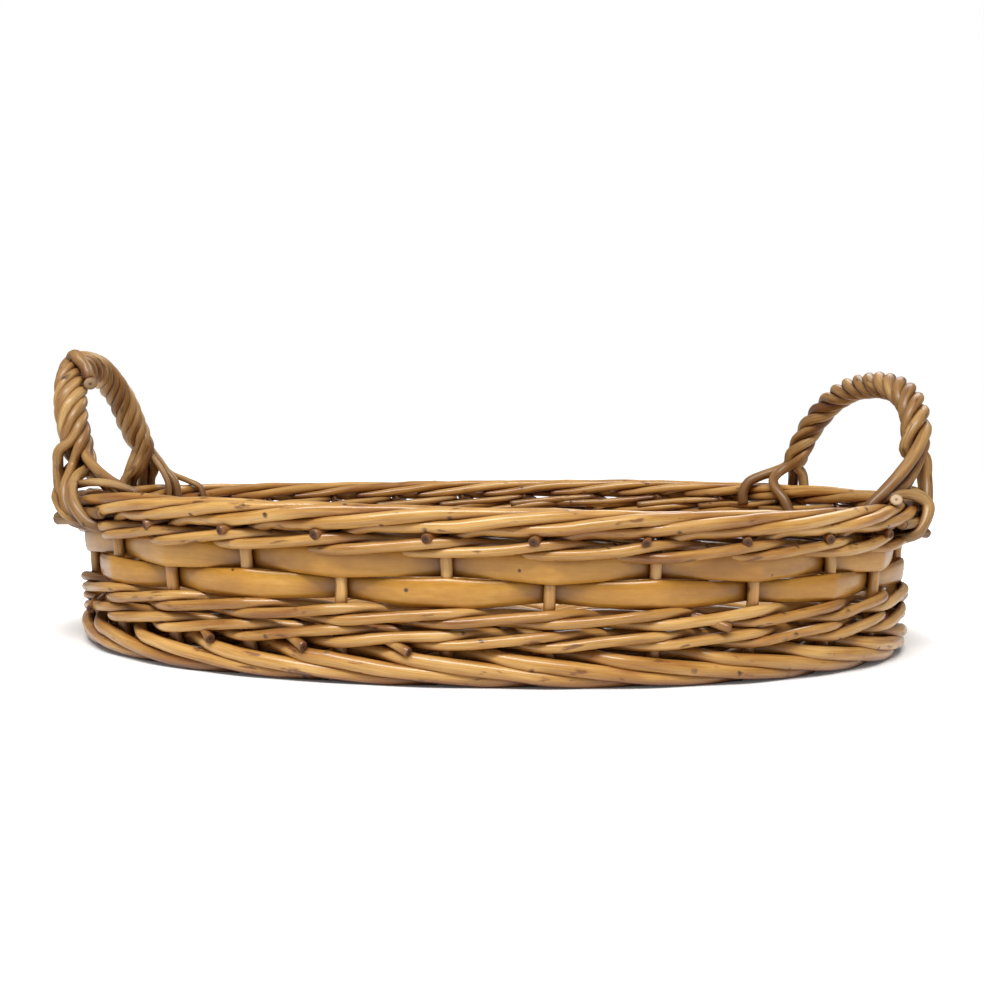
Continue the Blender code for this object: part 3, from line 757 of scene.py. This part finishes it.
def make_strip(name, node, first, inward):
    """The strip below the joint (inward -1) or above it (inward 1)."""
    chance = dice(name)[1]
    count = STAKE_COUNT * STRIP_STEPS
    u = np.arange(count) / STRIP_STEPS
    wave = strip_wave(u, first)
    swell = (1 + wave) / 2
    width = STRIP_TUCKED + (STRIP_FULL - STRIP_TUCKED) * swell
    width *= 1 + wander(chance, u, WIDTH_WANDER, WIDTH_WAVE)
    reach = STAKE_ROD / 2 + STRIP_THICK / 2
    edge = STRIP_JOINT_HEIGHT + inward * STRIP_HALF_GAP - inward * STRIP_PEAK * swell ** 2
    middle = edge + wander(chance, u, HEIGHT_WANDER, HEIGHT_WAVE) + inward * width / 2
    points, grain = [], []
    corners = len(SECTION_SHARES)
    for up, out in SECTION_SHARES:
        rows = np.stack([u, reach * wave + out * STRIP_THICK, middle + up * width], axis=1)
        points.append(wall(rows))
        grain.append(np.stack([up * width, np.full(count, out * STRIP_THICK), u * SPACING], axis=1))
    points = np.stack(points, axis=1).reshape(-1, 3)
    grain = np.stack(grain, axis=1).reshape(-1, 3) + chance.uniform(0, GRAIN_ROOM, 3)
    # Painted shade: the strip darkens where it goes behind a stake. On the rods the same mark is real wear
    # at their cut ends.
    wear_and_shade = np.repeat(np.clip(-wave - TUCK_SHADE_FROM, 0, 1) ** TUCK_SHADE_POWER, corners)
    faces = [(a, d, c, b) for a, b, c, d in ring_faces(count, corners, closed=True)]
    part = {"points": points, "faces": faces, "cut_faces": [], "grain": grain, "wear_and_shade": wear_and_shade}
    for key in ("heart", "bud", "tint"):
        part[key] = np.zeros(len(points))
    willow_piece(name, [part], (STRIP,), (node,))


make_strip("strip_lower", "splint_lower", 1, -1)
make_strip("strip_upper", "splint_upper", 0, 1)
print("laid two strips")

# %% [markdown]
# ## Roped handles
# Each handle is a bow of twisted rods: six strands lie round each other like rope on the
# left, four stouter ones on the right, all turning the same way. They spread at the rim:
# some go down outside the border, some inside, and they grip it from both sides.
# We read the bow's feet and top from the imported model, and wind helices along it.

# %% The bow line of each handle
HANDLE_FEET = {"left": (14.00, 11.80), "right": (24.85, 28.00)}
HANDLE_FULLNESS_SHARE = 0.82
STRAND_COUNT = {"left": 6, "right": 4}
STRAND_ROD = {"left": 0.0051, "right": 0.0056}
ROPE_COIL = {"left": 0.0049, "right": 0.0041}
ROPE_TURN = {"left": 0.9, "right": 0.4}
ROPE_LAY = 0.043
CORE_ROD = 0.0030
HANDLE_STEPS = 96
BOW_INSET = {"left": 0.0019, "right": 0.0038}
BOW_DROP = 0.00095


def bow_line(name, side):
    """The middle line of a handle, from its near foot over the top to its far foot."""
    core_low, core_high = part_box(f"handle_core_{name}")
    front, back = (wall([u, BORDER_OUT, RIM_TOP]) for u in HANDLE_FEET[name])
    middle, half = (front + back) / 2, (front - back) / 2
    level = np.array([half[1], -half[0], 0.0])
    level /= np.linalg.norm(level)
    level *= math.copysign(1, level[0] * side)
    reach = core_high[0] if side > 0 else core_low[0]
    lean = (abs(reach - middle[0]) - CORE_ROD / 2) / abs(level[0]) - BOW_INSET[name]
    rise = core_high[2] - middle[2] - CORE_ROD / 2 - BOW_DROP
    turn = np.linspace(0, math.pi, HANDLE_STEPS)
    along = np.sign(np.cos(turn)) * np.abs(np.cos(turn)) ** HANDLE_FULLNESS_SHARE
    up = np.sin(turn) ** HANDLE_FULLNESS_SHARE
    line = middle + along[:, None] * half + up[:, None] * (lean * level + np.array([0, 0, rise]))
    print(name, "handle rises", round(rise, 4), "and leans out", round(lean, 4))
    return even_pace(line, PACE)


bows = {"left": bow_line("left", -1), "right": bow_line("right", 1)}

# %% Winding one strand
def wind_strand(name, strand, chance):
    """The middle line of one strand of the rope."""
    line = bows[name]
    stops = walked_along(line)
    side, across = ring_frames(line)[1:]
    turn = 2 * math.pi * (stops / ROPE_LAY + strand / STRAND_COUNT[name]) + ROPE_TURN[name]
    coil = ROPE_COIL[name] * (1 + wander(chance, stops, 0.07, 0.05))
    return line + coil[:, None] * (np.cos(turn)[:, None] * side + np.sin(turn)[:, None] * across)


# %% [markdown]
# ## Where the rope meets the rim
# At each foot the rope opens up. Some strands go down outside the border and are tucked in
# under it, others go down inside. At the near right foot two thick strands leave the rope
# early and lie side by side across the gap, and at the far right one a strand runs along the
# rim first. At the near left foot one strand stands loosely off the rope before it goes down.
# A helix alone can't do that, so each strand's tail is a short row of places of its own.
# Every strand takes the tail that starts nearest to it, so that none crosses through another.

# %% Tails at the feet, as stake number, then millimetres out and up
TAILS = {
    ("left", 0): (
        ((14, 12, 88), (13.97, 13.2, 80.5), (13.96, 13.6, 73.5), (13.98, 13.4, 67), (14.1, 13, 61.5),
         (14.34, 8.5, 57), (14.5, 0.5, 56.5)),
        ((14.12, 9, 76.4), (14.24, 11.4, 72.2), (14.32, 12.8, 66.5), (14.42, 12.4, 61.2), (14.58, 8.2, 57),
         (14.72, 0.5, 56.5)),
        ((14.2, 5, 76.8), (14.38, 8.4, 74.2), (14.54, 11.4, 69.8), (14.68, 12.4, 64), (14.84, 8.6, 57.5),
         (14.96, 0.5, 56.5)),
        ((13.96, -0.8, 77), (13.94, -7.6, 71.2), (13.92, -9.8, 64), (13.9, -8, 58)),
        ((14.22, -0.5, 82.5), (14.44, -2, 78.5), (14.68, -4, 74.6), (14.86, -7.4, 70.2), (14.9, -9.5, 64)),
        ((14.1, -1, 77.8), (14.3, -5, 74.6), (14.5, -9, 69.8), (14.56, -9.5, 62)),
    ),
    ("left", 1): (
        ((11.9, 7, 88), (11.98, 9, 79), (12, 11.6, 71), (12, 11.2, 62), (12, 6, 56.5)),
        ((11.92, 3, 87), (12, 5, 79), (12.04, 10.4, 73.5), (12.1, 11.4, 65), (12.12, 7, 56.5)),
        ((11.88, 1, 86), (11.92, 4, 78.5), (11.9, 10.6, 73.5), (11.88, 11.6, 65), (11.88, 7, 56.5)),
        ((11.76, 8, 88), (11.72, 9.5, 79), (11.72, 11.6, 71), (11.72, 11.2, 62), (11.72, 6, 56.5)),
        ((11.72, 4, 87), (11.64, 5.5, 79), (11.6, 10.4, 73.5), (11.58, 11.4, 65), (11.58, 7, 56.5)),
        ((11.74, 0, 86), (11.66, -4, 78), (11.62, -8.5, 71.5), (11.6, -9.5, 63)),
    ),
    ("right", 0): (
        ((24.94, 6, 98.5), (24.76, 3.4, 90.5), (24.54, -0.6, 81.8), (24.38, -5, 74.2), (24.26, -9, 67),
         (24.24, -8.5, 59)),
        ((25, 6, 92.5), (24.86, 4, 84.5), (24.66, 0.8, 77), (24.48, -4.2, 72.2), (24.36, -8.8, 66.5),
         (24.36, -8.5, 59)),
        ((25.04, 7.2, 90), (25.02, 9.2, 80.5), (24.92, 10.6, 71), (24.78, 11, 63.2), (24.62, 8.5, 57),
         (24.48, 1, 56.2)),
        ((25.1, 6, 88), (25.18, 8.6, 79), (25.14, 10.2, 70), (25, 10.6, 62.5), (24.84, 8.5, 56.8),
         (24.72, 1, 56.2)),
    ),
    ("right", 1): (
        ((28.02, 2, 80.5), (28.16, -1, 77), (28.34, -5, 74), (28.48, -8.5, 70.4), (28.54, -9.8, 65),
         (28.54, -9, 59)),
        ((28, 0.2, 79.5), (28.08, -3, 76.2), (28.1, -6.6, 73), (28.02, -9.5, 68.5), (27.86, -9.8, 63),
         (27.72, -8.5, 56)),
        ((27.92, 5, 80.2), (27.9, 9, 76.2), (27.9, 11.2, 70.8), (27.9, 11.2, 62), (27.9, 6, 56.3)),
        ((28.02, 5.8, 80.2), (28.04, 9.6, 76.2), (28.06, 11.4, 70.5), (28.08, 11.2, 62), (28.1, 6, 56.3)),
    ),
}
TAIL_ROOM = 0.003
ROPE_THINNING = 4
SOLID_STRANDS = 4


def share_tails(paths, tails):
    """The tail of each strand, so that the jumps between them are shortest."""
    starts = [tail[0] for tail in tails]
    jumps = [[np.linalg.norm(path - start, axis=1).min() for start in starts] for path in paths]
    ways = itertools.permutations(range(len(tails)))
    best = min(ways, key=lambda way: sum(jumps[i][k] ** 2 for i, k in enumerate(way)))
    return [tails[k] for k in best]


def make_handle(name):
    """All strands of one handle, each between the two tails nearest to it."""
    chances = [dice(name, strand)[1] for strand in range(STRAND_COUNT[name])]
    paths = [wind_strand(name, strand, chance) for strand, chance in enumerate(chances)]
    half = len(paths[0]) // 2
    near = share_tails([path[:half] for path in paths], [wall_mm(tail) for tail in TAILS[name, 0]])
    far = share_tails([path[half:] for path in paths], [wall_mm(tail) for tail in TAILS[name, 1]])
    for strand, path in enumerate(paths):
        rope_near = path[:half][path[:half, 2] > near[strand][0][2] + TAIL_ROOM]
        rope_far = path[half:][path[half:, 2] > far[strand][0][2] + TAIL_ROOM]
        rope = np.vstack([rope_near, rope_far])[::ROPE_THINNING]
        line = smooth_line(np.vstack([near[strand][::-1], rope, far[strand]]), PACE)
        girth = STRAND_ROD[name] / 2 * chances[strand].uniform(0.94, 1.06)
        swept = sweep_rod(line, girth, SEEDS[name + " rods"] + strand, worn_ends=0.02)
        nodes = [f"handle_strand_{name}_{strand + 1}"] if strand < SOLID_STRANDS else []
        if strand == 0:
            nodes.append(f"handle_core_{name}")
        willow_piece(f"{name}_rope_{strand + 1}", [swept], (ROPED, CUT), nodes)


make_handle("left")
make_handle("right")
print("twisted two handles")

# %% [markdown]
# ## A hook at the top
# Near the top of the left handle one strand was too short. It comes over the top of the
# others from their outer side and ends in a pale, frayed cut that looks to the front.

# %% The hooked strand
HOOK_ROD = 0.0060
HOOK_BEND = 0.0036
HOOK_LOOKS = np.array([0.30, -0.85, -0.43])
HOOK_FROM, HOOK_TO = 0.41, 0.305
HOOK_TURN_FROM, HOOK_TURN_TO = math.radians(5), math.radians(100)
HOOK_STEPS = 9
HOOK_CLIMB = 1.25
HOOK_HURRY = 1.8
HEART_SHARE = 0.4
FINE_PACE = 0.0012


def hook_line():
    """Round the rope from its outer side, then bent away so that the cut is seen."""
    line = bows["left"]
    ahead = ring_frames(line)[0]
    rise = line[:, 2].max() - line[0][2]
    heart = (line[0] + line[-1]) / 2 + np.array([0, 0, HEART_SHARE * rise])
    places = []
    for share in np.linspace(0, 1, HOOK_STEPS):
        i = int((HOOK_FROM + (HOOK_TO - HOOK_FROM) * share) * (len(line) - 1))
        outward = line[i] - heart
        outward -= ahead[i] * outward.dot(ahead[i])
        outward /= np.linalg.norm(outward)
        frontward = np.cross(ahead[i], outward)
        frontward *= -math.copysign(1, frontward[1])
        turn = HOOK_TURN_FROM + (HOOK_TURN_TO - HOOK_TURN_FROM) * share
        climb = math.sin(math.pi * min(1, HOOK_HURRY * share) / 2)
        reach = ROPE_COIL["left"] / 2 + HOOK_ROD * HOOK_CLIMB * climb
        places.append(line[i] + reach * (math.cos(turn) * outward + math.sin(turn) * frontward))
    places.append(places[-1] + HOOK_BEND * HOOK_LOOKS)
    return smooth_line(places, FINE_PACE)


hook = sweep_rod(hook_line(), HOOK_ROD / 2, SEEDS["hook"], buds=False, slants=(0, 0.5))
willow_piece("left_hook", [hook], (ROPED, PALE_CUT))
print("hooked one strand over the left handle")

# %% [markdown]
# ## Loose ends at the handles
# The maker wound thinner rods round the feet of the handles and left some of them lying
# loosely. A fine one wraps the near left foot, two run off to the side at the far left foot,
# and four stouter ones bind the near right foot. Under each near foot a short rod lies along
# the rim, and a few stubs look out between them.

# %% Thin rods that bind the handles
BINDERS = (
    ("left_wrap", 0.0026, CUT, (
        (14.02, 3, 86), (13.9, 11, 78), (13.92, 15, 70), (14.2, 15.8, 64),
        (14.6, 12, 58.2), (14.84, 4, 56.6))),
    ("left_loose_a", 0.003, PALE_CUT, (
        (11.88, 4, 96), (11.84, 2, 90), (11.8, -2, 84), (11.77, -6.6, 76.5),
        (11.77, -9.4, 69), (11.78, -9, 62))),
    ("left_loose_b", 0.0034, CUT, (
        (11.82, 5, 92), (11.66, 2, 83.5), (11.48, 0, 76.8), (11.26, -3.6, 72.5),
        (11.14, -8, 69), (11.1, -9.4, 62))),
    ("left_twig", 0.0036, PALE_CUT, (
        (14.38, 8, 72.4), (14.66, 4, 74), (14.96, 0, 73.4), (15.22, -5, 70.4))),
    ("left_stub", 0.0062, CUT, (
        (14.56, 3, 59), (14.38, 9, 58.6), (14.18, 15.2, 58.2))),
    ("right_wrap_a", 0.0044, CUT, (
        (24.36, -8, 69), (24.46, -2, 72.8), (24.6, 6.2, 73), (24.68, 11.8, 69),
        (24.62, 12.4, 63), (24.48, 8.5, 57), (24.34, 1, 56.2))),
    ("right_wrap_b", 0.0046, CUT, (
        (24.56, -8, 69), (24.64, -1.5, 73), (24.76, 7, 73.2), (24.82, 12, 68.5),
        (24.74, 12.2, 62.5), (24.6, 8, 56.8), (24.46, 1, 56.2))),
    ("right_wrap_c", 0.0046, CUT, (
        (25.38, -7, 70), (25.4, 1, 73.8), (25.4, 7.6, 72.2), (25.32, 10.1, 66),
        (25.18, 8.8, 58), (25.06, 1, 56.2))),
    ("right_wrap_d", 0.0044, CUT, (
        (24.82, -6, 70), (24.9, 1, 73.6), (25, 8, 72.6), (25.02, 11.2, 68),
        (24.94, 10.8, 62), (24.82, 7, 56.5), (24.7, 1, 56.2))),
    ("left_rim_rod", 0.005, CUT, (
        (13.6, 7.4, 61.2), (14.1, 8, 61), (14.6, 7.8, 61), (15, 6.8, 61.5))),
    ("right_rim_rod", 0.005, CUT, (
        (24.2, 6.8, 61.6), (24.6, 7.8, 61.1), (25, 8, 61), (25.4, 7.4, 61.2))),
    ("right_stub", 0.0054, PALE_CUT, (
        (24.42, -1, 62.5), (24.26, 1.6, 67.2), (24.12, 4.4, 70.4), (24.03, 6, 72.4))),
    ("right_butt", 0.0048, BUTT, (
        (24.5, 2, 59), (24.66, 7, 58), (24.84, 12.2, 56.8))),
)
for i, (name, thick, ends, rows) in enumerate(BINDERS):
    seed = SEEDS["binder"] + i
    swept = rod_through(rows, FINE_PACE, thick, seed, corners=10, buds=False, slants=(0.2, 0.1))
    willow_piece(name, [swept], (ROPED, ends))
print("bound the feet of the handles with", len(BINDERS), "rods")

# %% [markdown]
# ## Cut ends
# Where a rod runs out the maker cuts it off at a slant. A row of such dark butts looks out
# under the border, one beside each stake, and some more lie under the lower wale.
# Each is a short thick rod from inside the wall, so that its round cut end faces outwards.

# %% Butts under the border and in the lower wale
BUTT_ROD = 0.0039
BUTT_PACE = 0.0015
# Stake number, then millimetres out and up. The low ones count from the cut's own place.
BUTT_PLACES = ((-0.02, -5, 60.6), (-0.11, 1.2, 60), (-0.19, 7.8, 58.8))
LOW_BUTT_PLACES = ((-0.34, -3, 4), (-0.16, 3.5, 2.2), (0, 8, -0.4))
LOW_BUTTS = (
    (16.66, 16.8), (17.69, 16.6), (18.68, 16.4), (21.66, 26.2),
    (14.6, 20.5), (4.4, 17.8), (7.62, 17.2), (10.55, 26.2))
butts = []
for stake in range(STAKE_COUNT):
    seed, chance = dice("butt", stake)
    rows = np.array(BUTT_PLACES) + (stake + chance.normal(0, 0.025), 0, 0)
    rows[-1, 1] += chance.normal(0, 0.8)
    thick = BUTT_ROD * chance.uniform(0.85, 1.12)
    butts.append(rod_through(rows, BUTT_PACE, thick, seed, buds=False, slants=(0, 0.1)))
looks = {"buds": False, "slants": (0, 0.2), "worn_ends": 0.006}
for i, (u, up) in enumerate(LOW_BUTTS):
    rows = np.array(LOW_BUTT_PLACES) + (u, 0, up)
    butts.append(rod_through(rows, BUTT_PACE, BUTT_ROD, SEEDS["low butt"] + i, **looks))
willow_piece("butt_ends", butts, (PEELED, BUTT))
print("cut", len(butts), "butts")

# %% [markdown]
# ## Rods that line the wall
# Under the floor three thin rods go round inside the foot and bind the floor's edge down,
# one lies inside between the lower wales, and below the rim the rods' trimmed ends lie along.
# They close the view through the wall, so that its slits are dark, as on the real one.

# %% Lining rods
EDGE_ROD = 0.0036
EDGE_PACE = 0.003
EDGE_STEPS = 4
EDGE_OVERLAP = 0.6
TUCKED_PACE = 0.0025
# Millimetres out and up for the rods that go all the way round.
LINING = ((-10.4, 8.6), (-10.4, 12.1), (-10.4, 15.6), (-7.3, 25.7))
TUCKED_END = ((0, -4, 60.6), (0.35, -6, 59.6), (0.8, -7, 58.6), (1.25, -7.8, 57.4))
edge_rods = []
for i, (inside, height) in enumerate(LINING):
    seed, chance = dice("lining", i)
    u = np.arange(0, STAKE_COUNT + EDGE_OVERLAP, 1 / EDGE_STEPS) + 3 * i
    out = inside + wander(chance, u, 0.3, 3.0)
    rows = np.stack([u, out, height + wander(chance, u, 0.2, 4.0)], axis=1)
    edge_rods.append(rod_through(rows, EDGE_PACE, EDGE_ROD, seed, corners=10, buds=False))
for stake in range(STAKE_COUNT):
    seed, chance = dice("tucked", stake)
    rows = [(stake + u + chance.normal(0, 0.03), n, z + chance.normal(0, 0.2)) for u, n, z in TUCKED_END]
    edge_rods.append(rod_through(rows, TUCKED_PACE, EDGE_ROD, seed, corners=10, worn_ends=0.01))
willow_piece("wall_lining", edge_rods, (THIN, CUT))
print("lined the wall with", len(edge_rods), "rods")

# %% [markdown]
# ## The floor
# The floor can't be seen from the front, but whoever lifts the tray sees it. It is woven
# with five thin rods at a time: each row of five goes over one cross stick and under the
# next, and the row beside it takes the other side. Three stout sticks run below them.
# A flat board with a woven picture would be quick, but from a low angle it would stay flat.
# Real rods over real sticks cast their own small shadows.

# %% Sticks of the floor
STICK_STEPS = 14
STICK_PACE = 0.004
STICK_WANDER, STICK_WAVE = 0.0006, 0.6
cross_nodes, long_nodes = (
    sorted(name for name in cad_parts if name.startswith(f"base_{way}_stick_"))
    for way in ("cross", "long"))


def make_stick(title, i, node, axis):
    """A stick in its own box, along x (axis 0) or y (axis 1)."""
    seed, chance = dice(title, i)
    low, high = (np.array(corner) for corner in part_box(node))
    start, end = (low + high) / 2, (low + high) / 2
    start[axis], end[axis] = low[axis], high[axis]
    share = np.linspace(0, 1, STICK_STEPS)[:, None]
    line = start + share * (end - start)
    line[:, 1 - axis] += wander(chance, share[:, 0], STICK_WANDER, STICK_WAVE)
    thick = np.delete(high - low, axis).max()
    swept = sweep_rod(smooth_line(line, STICK_PACE), thick / 2, seed, corners=12)
    willow_piece(f"{title}_{i + 1}", [swept], (PEELED, CUT), (node,))


for title, nodes, axis in (("cross_stick", cross_nodes, 1), ("long_stick", long_nodes, 0)):
    for i, node in enumerate(nodes):
        make_stick(title, i, node, axis)
cross_x = [node_middle(node, axis=0) for node in cross_nodes]
print(len(cross_nodes), "cross sticks and", len(long_nodes), "long sticks")

# %% Rows of weavers
FLOOR_ROW = 0.0159
RODS_IN_ROW = 5
WEAVER_FILL = 0.99
WEAVER_ROD = FLOOR_ROW / RODS_IN_ROW * WEAVER_FILL
FLOOR_EDGE = 0.0008
WEAVER_STEP = 0.0035
cross_low, cross_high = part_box(cross_nodes[0])
CROSS_ROD = cross_high[0] - cross_low[0]
CROSS_MIDDLE = node_middle(cross_nodes[0])
CROSS_STEP = (cross_x[-1] - cross_x[0]) / (len(cross_x) - 1)
WEAVE_SWING = (CROSS_ROD + WEAVER_ROD) / 2
floor_half = (floor_high - floor_low) / 2
rows_each_side = math.ceil(floor_half[1] / FLOOR_ROW)


def weaver_line(row, rod, chance):
    """One thin rod of a row, or nothing where the oval leaves no room."""
    y = row * FLOOR_ROW + (rod - (RODS_IN_ROW - 1) / 2) * FLOOR_ROW / RODS_IN_ROW
    inside = 1 - abs(y / floor_half[1]) ** OVAL_FULLNESS
    half = floor_half[0] * max(0.0, inside) ** (1 / OVAL_FULLNESS) - FLOOR_EDGE
    if half < CROSS_STEP / 2:
        return None
    x = np.linspace(-half, half, max(12, int(2 * half / WEAVER_STEP)))
    side = -1 if row % 2 == 0 else 1
    z = CROSS_MIDDLE + side * WEAVE_SWING * np.cos(math.pi * x / CROSS_STEP)
    sway = wander(chance, x, 0.10 * WEAVER_ROD, 0.12)
    dip = wander(chance, x, 0.06 * WEAVER_ROD, 0.09)
    return np.stack([MIDDLE_X + x, y + sway, z + dip], axis=1)


weavers = []
for row in range(-rows_each_side, rows_each_side + 1):
    for rod in range(RODS_IN_ROW):
        seed, chance = dice("weaver", (row + rows_each_side) * RODS_IN_ROW + rod)
        line = weaver_line(row, rod, chance)
        if line is not None:
            girth = WEAVER_ROD / 2 * chance.uniform(0.96, 1.06)
            line = smooth_line(line, WEAVER_STEP)
            weavers.append(sweep_rod(line, girth, seed, corners=8, buds=False))
willow_piece("floor_weavers", weavers, (THIN, CUT), ("base_weave",))
print("laid", len(weavers), "weavers")

# %% [markdown]
# ## Light, table and camera
# The tray was photographed close up, just above its rim, against plain white. A wide soft
# lamp above the front gives the long highlights on the upper side of each rod, and the world
# fills the shadows. The table is white, so we only have to keep the tray's soft shadow on it.

# %% The table
GLOW_FROM = 0.95
GLOW_FULL = 1.45


def table_finish():
    """White that takes the tray's shadow near it and glows as plain white farther out."""
    material, tree, surface = new_material("white table", 0.9, 0.0, 0.03)
    middle, scale = (-MIDDLE_X / HALF_LENGTH, 0, 0), (1 / HALF_LENGTH, 1 / HALF_WIDTH, 1)
    place = add_node(tree, "TexCoord", {}).outputs["Object"]
    shrink = add_node(tree, "Mapping", {"Vector": place, "Location": middle, "Scale": scale})
    reach = add_node(tree, "VectorMath", {0: shrink.outputs["Vector"]}, operation="LENGTH")
    limits = {"Value": reach.outputs["Value"], "From Min": GLOW_FROM, "From Max": GLOW_FULL}
    away = add_node(tree, "MapRange", limits, interpolation_type="SMOOTHSTEP").outputs["Result"]
    seen = add_node(tree, "LightPath", {}).outputs["Is Camera Ray"]
    glow = add_node(tree, "Math", {0: away, 1: seen}, operation="MULTIPLY").outputs[0]
    wire(tree, surface, {
        "Base Color": (0.9, 0.9, 0.9, 1), "Specular IOR Level": 0.0,
        "Emission Color": (1, 1, 1, 1), "Emission Strength": glow})
    return material


TABLE_SIZE = 12.0
table_mesh = bpy.data.meshes.new("table")
edge = TABLE_SIZE / 2
corners = [(-edge, -edge, 0), (edge, -edge, 0), (edge, edge, 0), (-edge, edge, 0)]
table_mesh.from_pydata(corners, [], [(0, 1, 2, 3)])
table_mesh.materials.append(table_finish())
table = new_object("table", table_mesh)
print("laid a table of", TABLE_SIZE, "m")

# %% The white world
world = bpy.data.worlds.new("white studio")
bpy.context.scene.world = world
world.use_nodes = True
tree = world.node_tree
fill = wire(tree, tree.nodes["Background"], {"Color": (1.0, 0.99, 0.97, 1), "Strength": 0.28})
white = add_node(tree, "Background", {"Color": (1, 1, 1, 1), "Strength": 1.0})
rays = add_node(tree, "LightPath", {}).outputs
straight = {0: rays["Is Camera Ray"], 1: rays["Is Transmission Ray"]}
seen = add_node(tree, "Math", straight, operation="MAXIMUM").outputs[0]
mix = add_node(tree, "MixShader", {0: seen, 1: fill.outputs[0], 2: white.outputs[0]})
wire(tree, tree.nodes["World Output"], {"Surface": mix.outputs[0]})
print("made the world", world.name)

# %% Soft lamps
def soft_lamp(name, place, aim, size, power):
    """A flat rectangular lamp that looks from its place to its aim."""
    light = bpy.data.lights.new(name, "AREA")
    light.shape = "RECTANGLE"
    light.size, light.size_y = size
    light.energy = power
    lamp = new_object(name, light)
    lamp.location = place
    lamp.rotation_euler = (Vector(aim) - Vector(place)).to_track_quat("-Z", "Y").to_euler()
    print("hung the", name)


tray_middle = (MIDDLE_X, 0.0, RIM_TOP / 2)
soft_lamp("front softbox", (-0.15, -0.75, 1.15), tray_middle, (1.10, 0.25), 19)
soft_lamp("back softbox", (0.60, 0.90, 1.10), tray_middle, (0.80, 0.60), 7)

# %% The camera, worked out from the photograph
IMAGE_SIZE = 984
CAMERA_FROM_WALL = (-0.0094, -0.5477, 0.0900)
CAMERA_YAW, CAMERA_PITCH, CAMERA_ROLL = 0.0031, 0.0429, 0.0130
FOCUS_PIXELS = 1090.3
SHIFT_PIXELS = (-12.24, 5.42)
camera_data = bpy.data.cameras.new("camera")
camera_data.sensor_width = 36
camera_data.lens = FOCUS_PIXELS / IMAGE_SIZE * camera_data.sensor_width
camera_data.shift_x = -SHIFT_PIXELS[0] / IMAGE_SIZE
camera_data.shift_y = SHIFT_PIXELS[1] / IMAGE_SIZE
camera_data.clip_start = 0.01
camera = new_object("camera", camera_data)
camera.location = (CAMERA_FROM_WALL[0] + MIDDLE_X, CAMERA_FROM_WALL[1], CAMERA_FROM_WALL[2])
flat = math.cos(CAMERA_PITCH)
forward = np.array([math.sin(CAMERA_YAW) * flat, math.cos(CAMERA_YAW) * flat, -math.sin(CAMERA_PITCH)])
level = np.array([math.cos(CAMERA_YAW), -math.sin(CAMERA_YAW), 0])
upward = np.cross(level, forward)
right = level * math.cos(CAMERA_ROLL) + upward * math.sin(CAMERA_ROLL)
top = -level * math.sin(CAMERA_ROLL) + upward * math.cos(CAMERA_ROLL)
camera.rotation_euler = Matrix(np.stack([right, top, -forward], axis=1).tolist()).to_euler()
bpy.context.scene.camera = camera
bpy.context.scene.view_settings.view_transform = "Standard"
print("the camera stands at", np.round(camera.location, 4))

# %% Finish
bpy.context.view_layer.update()
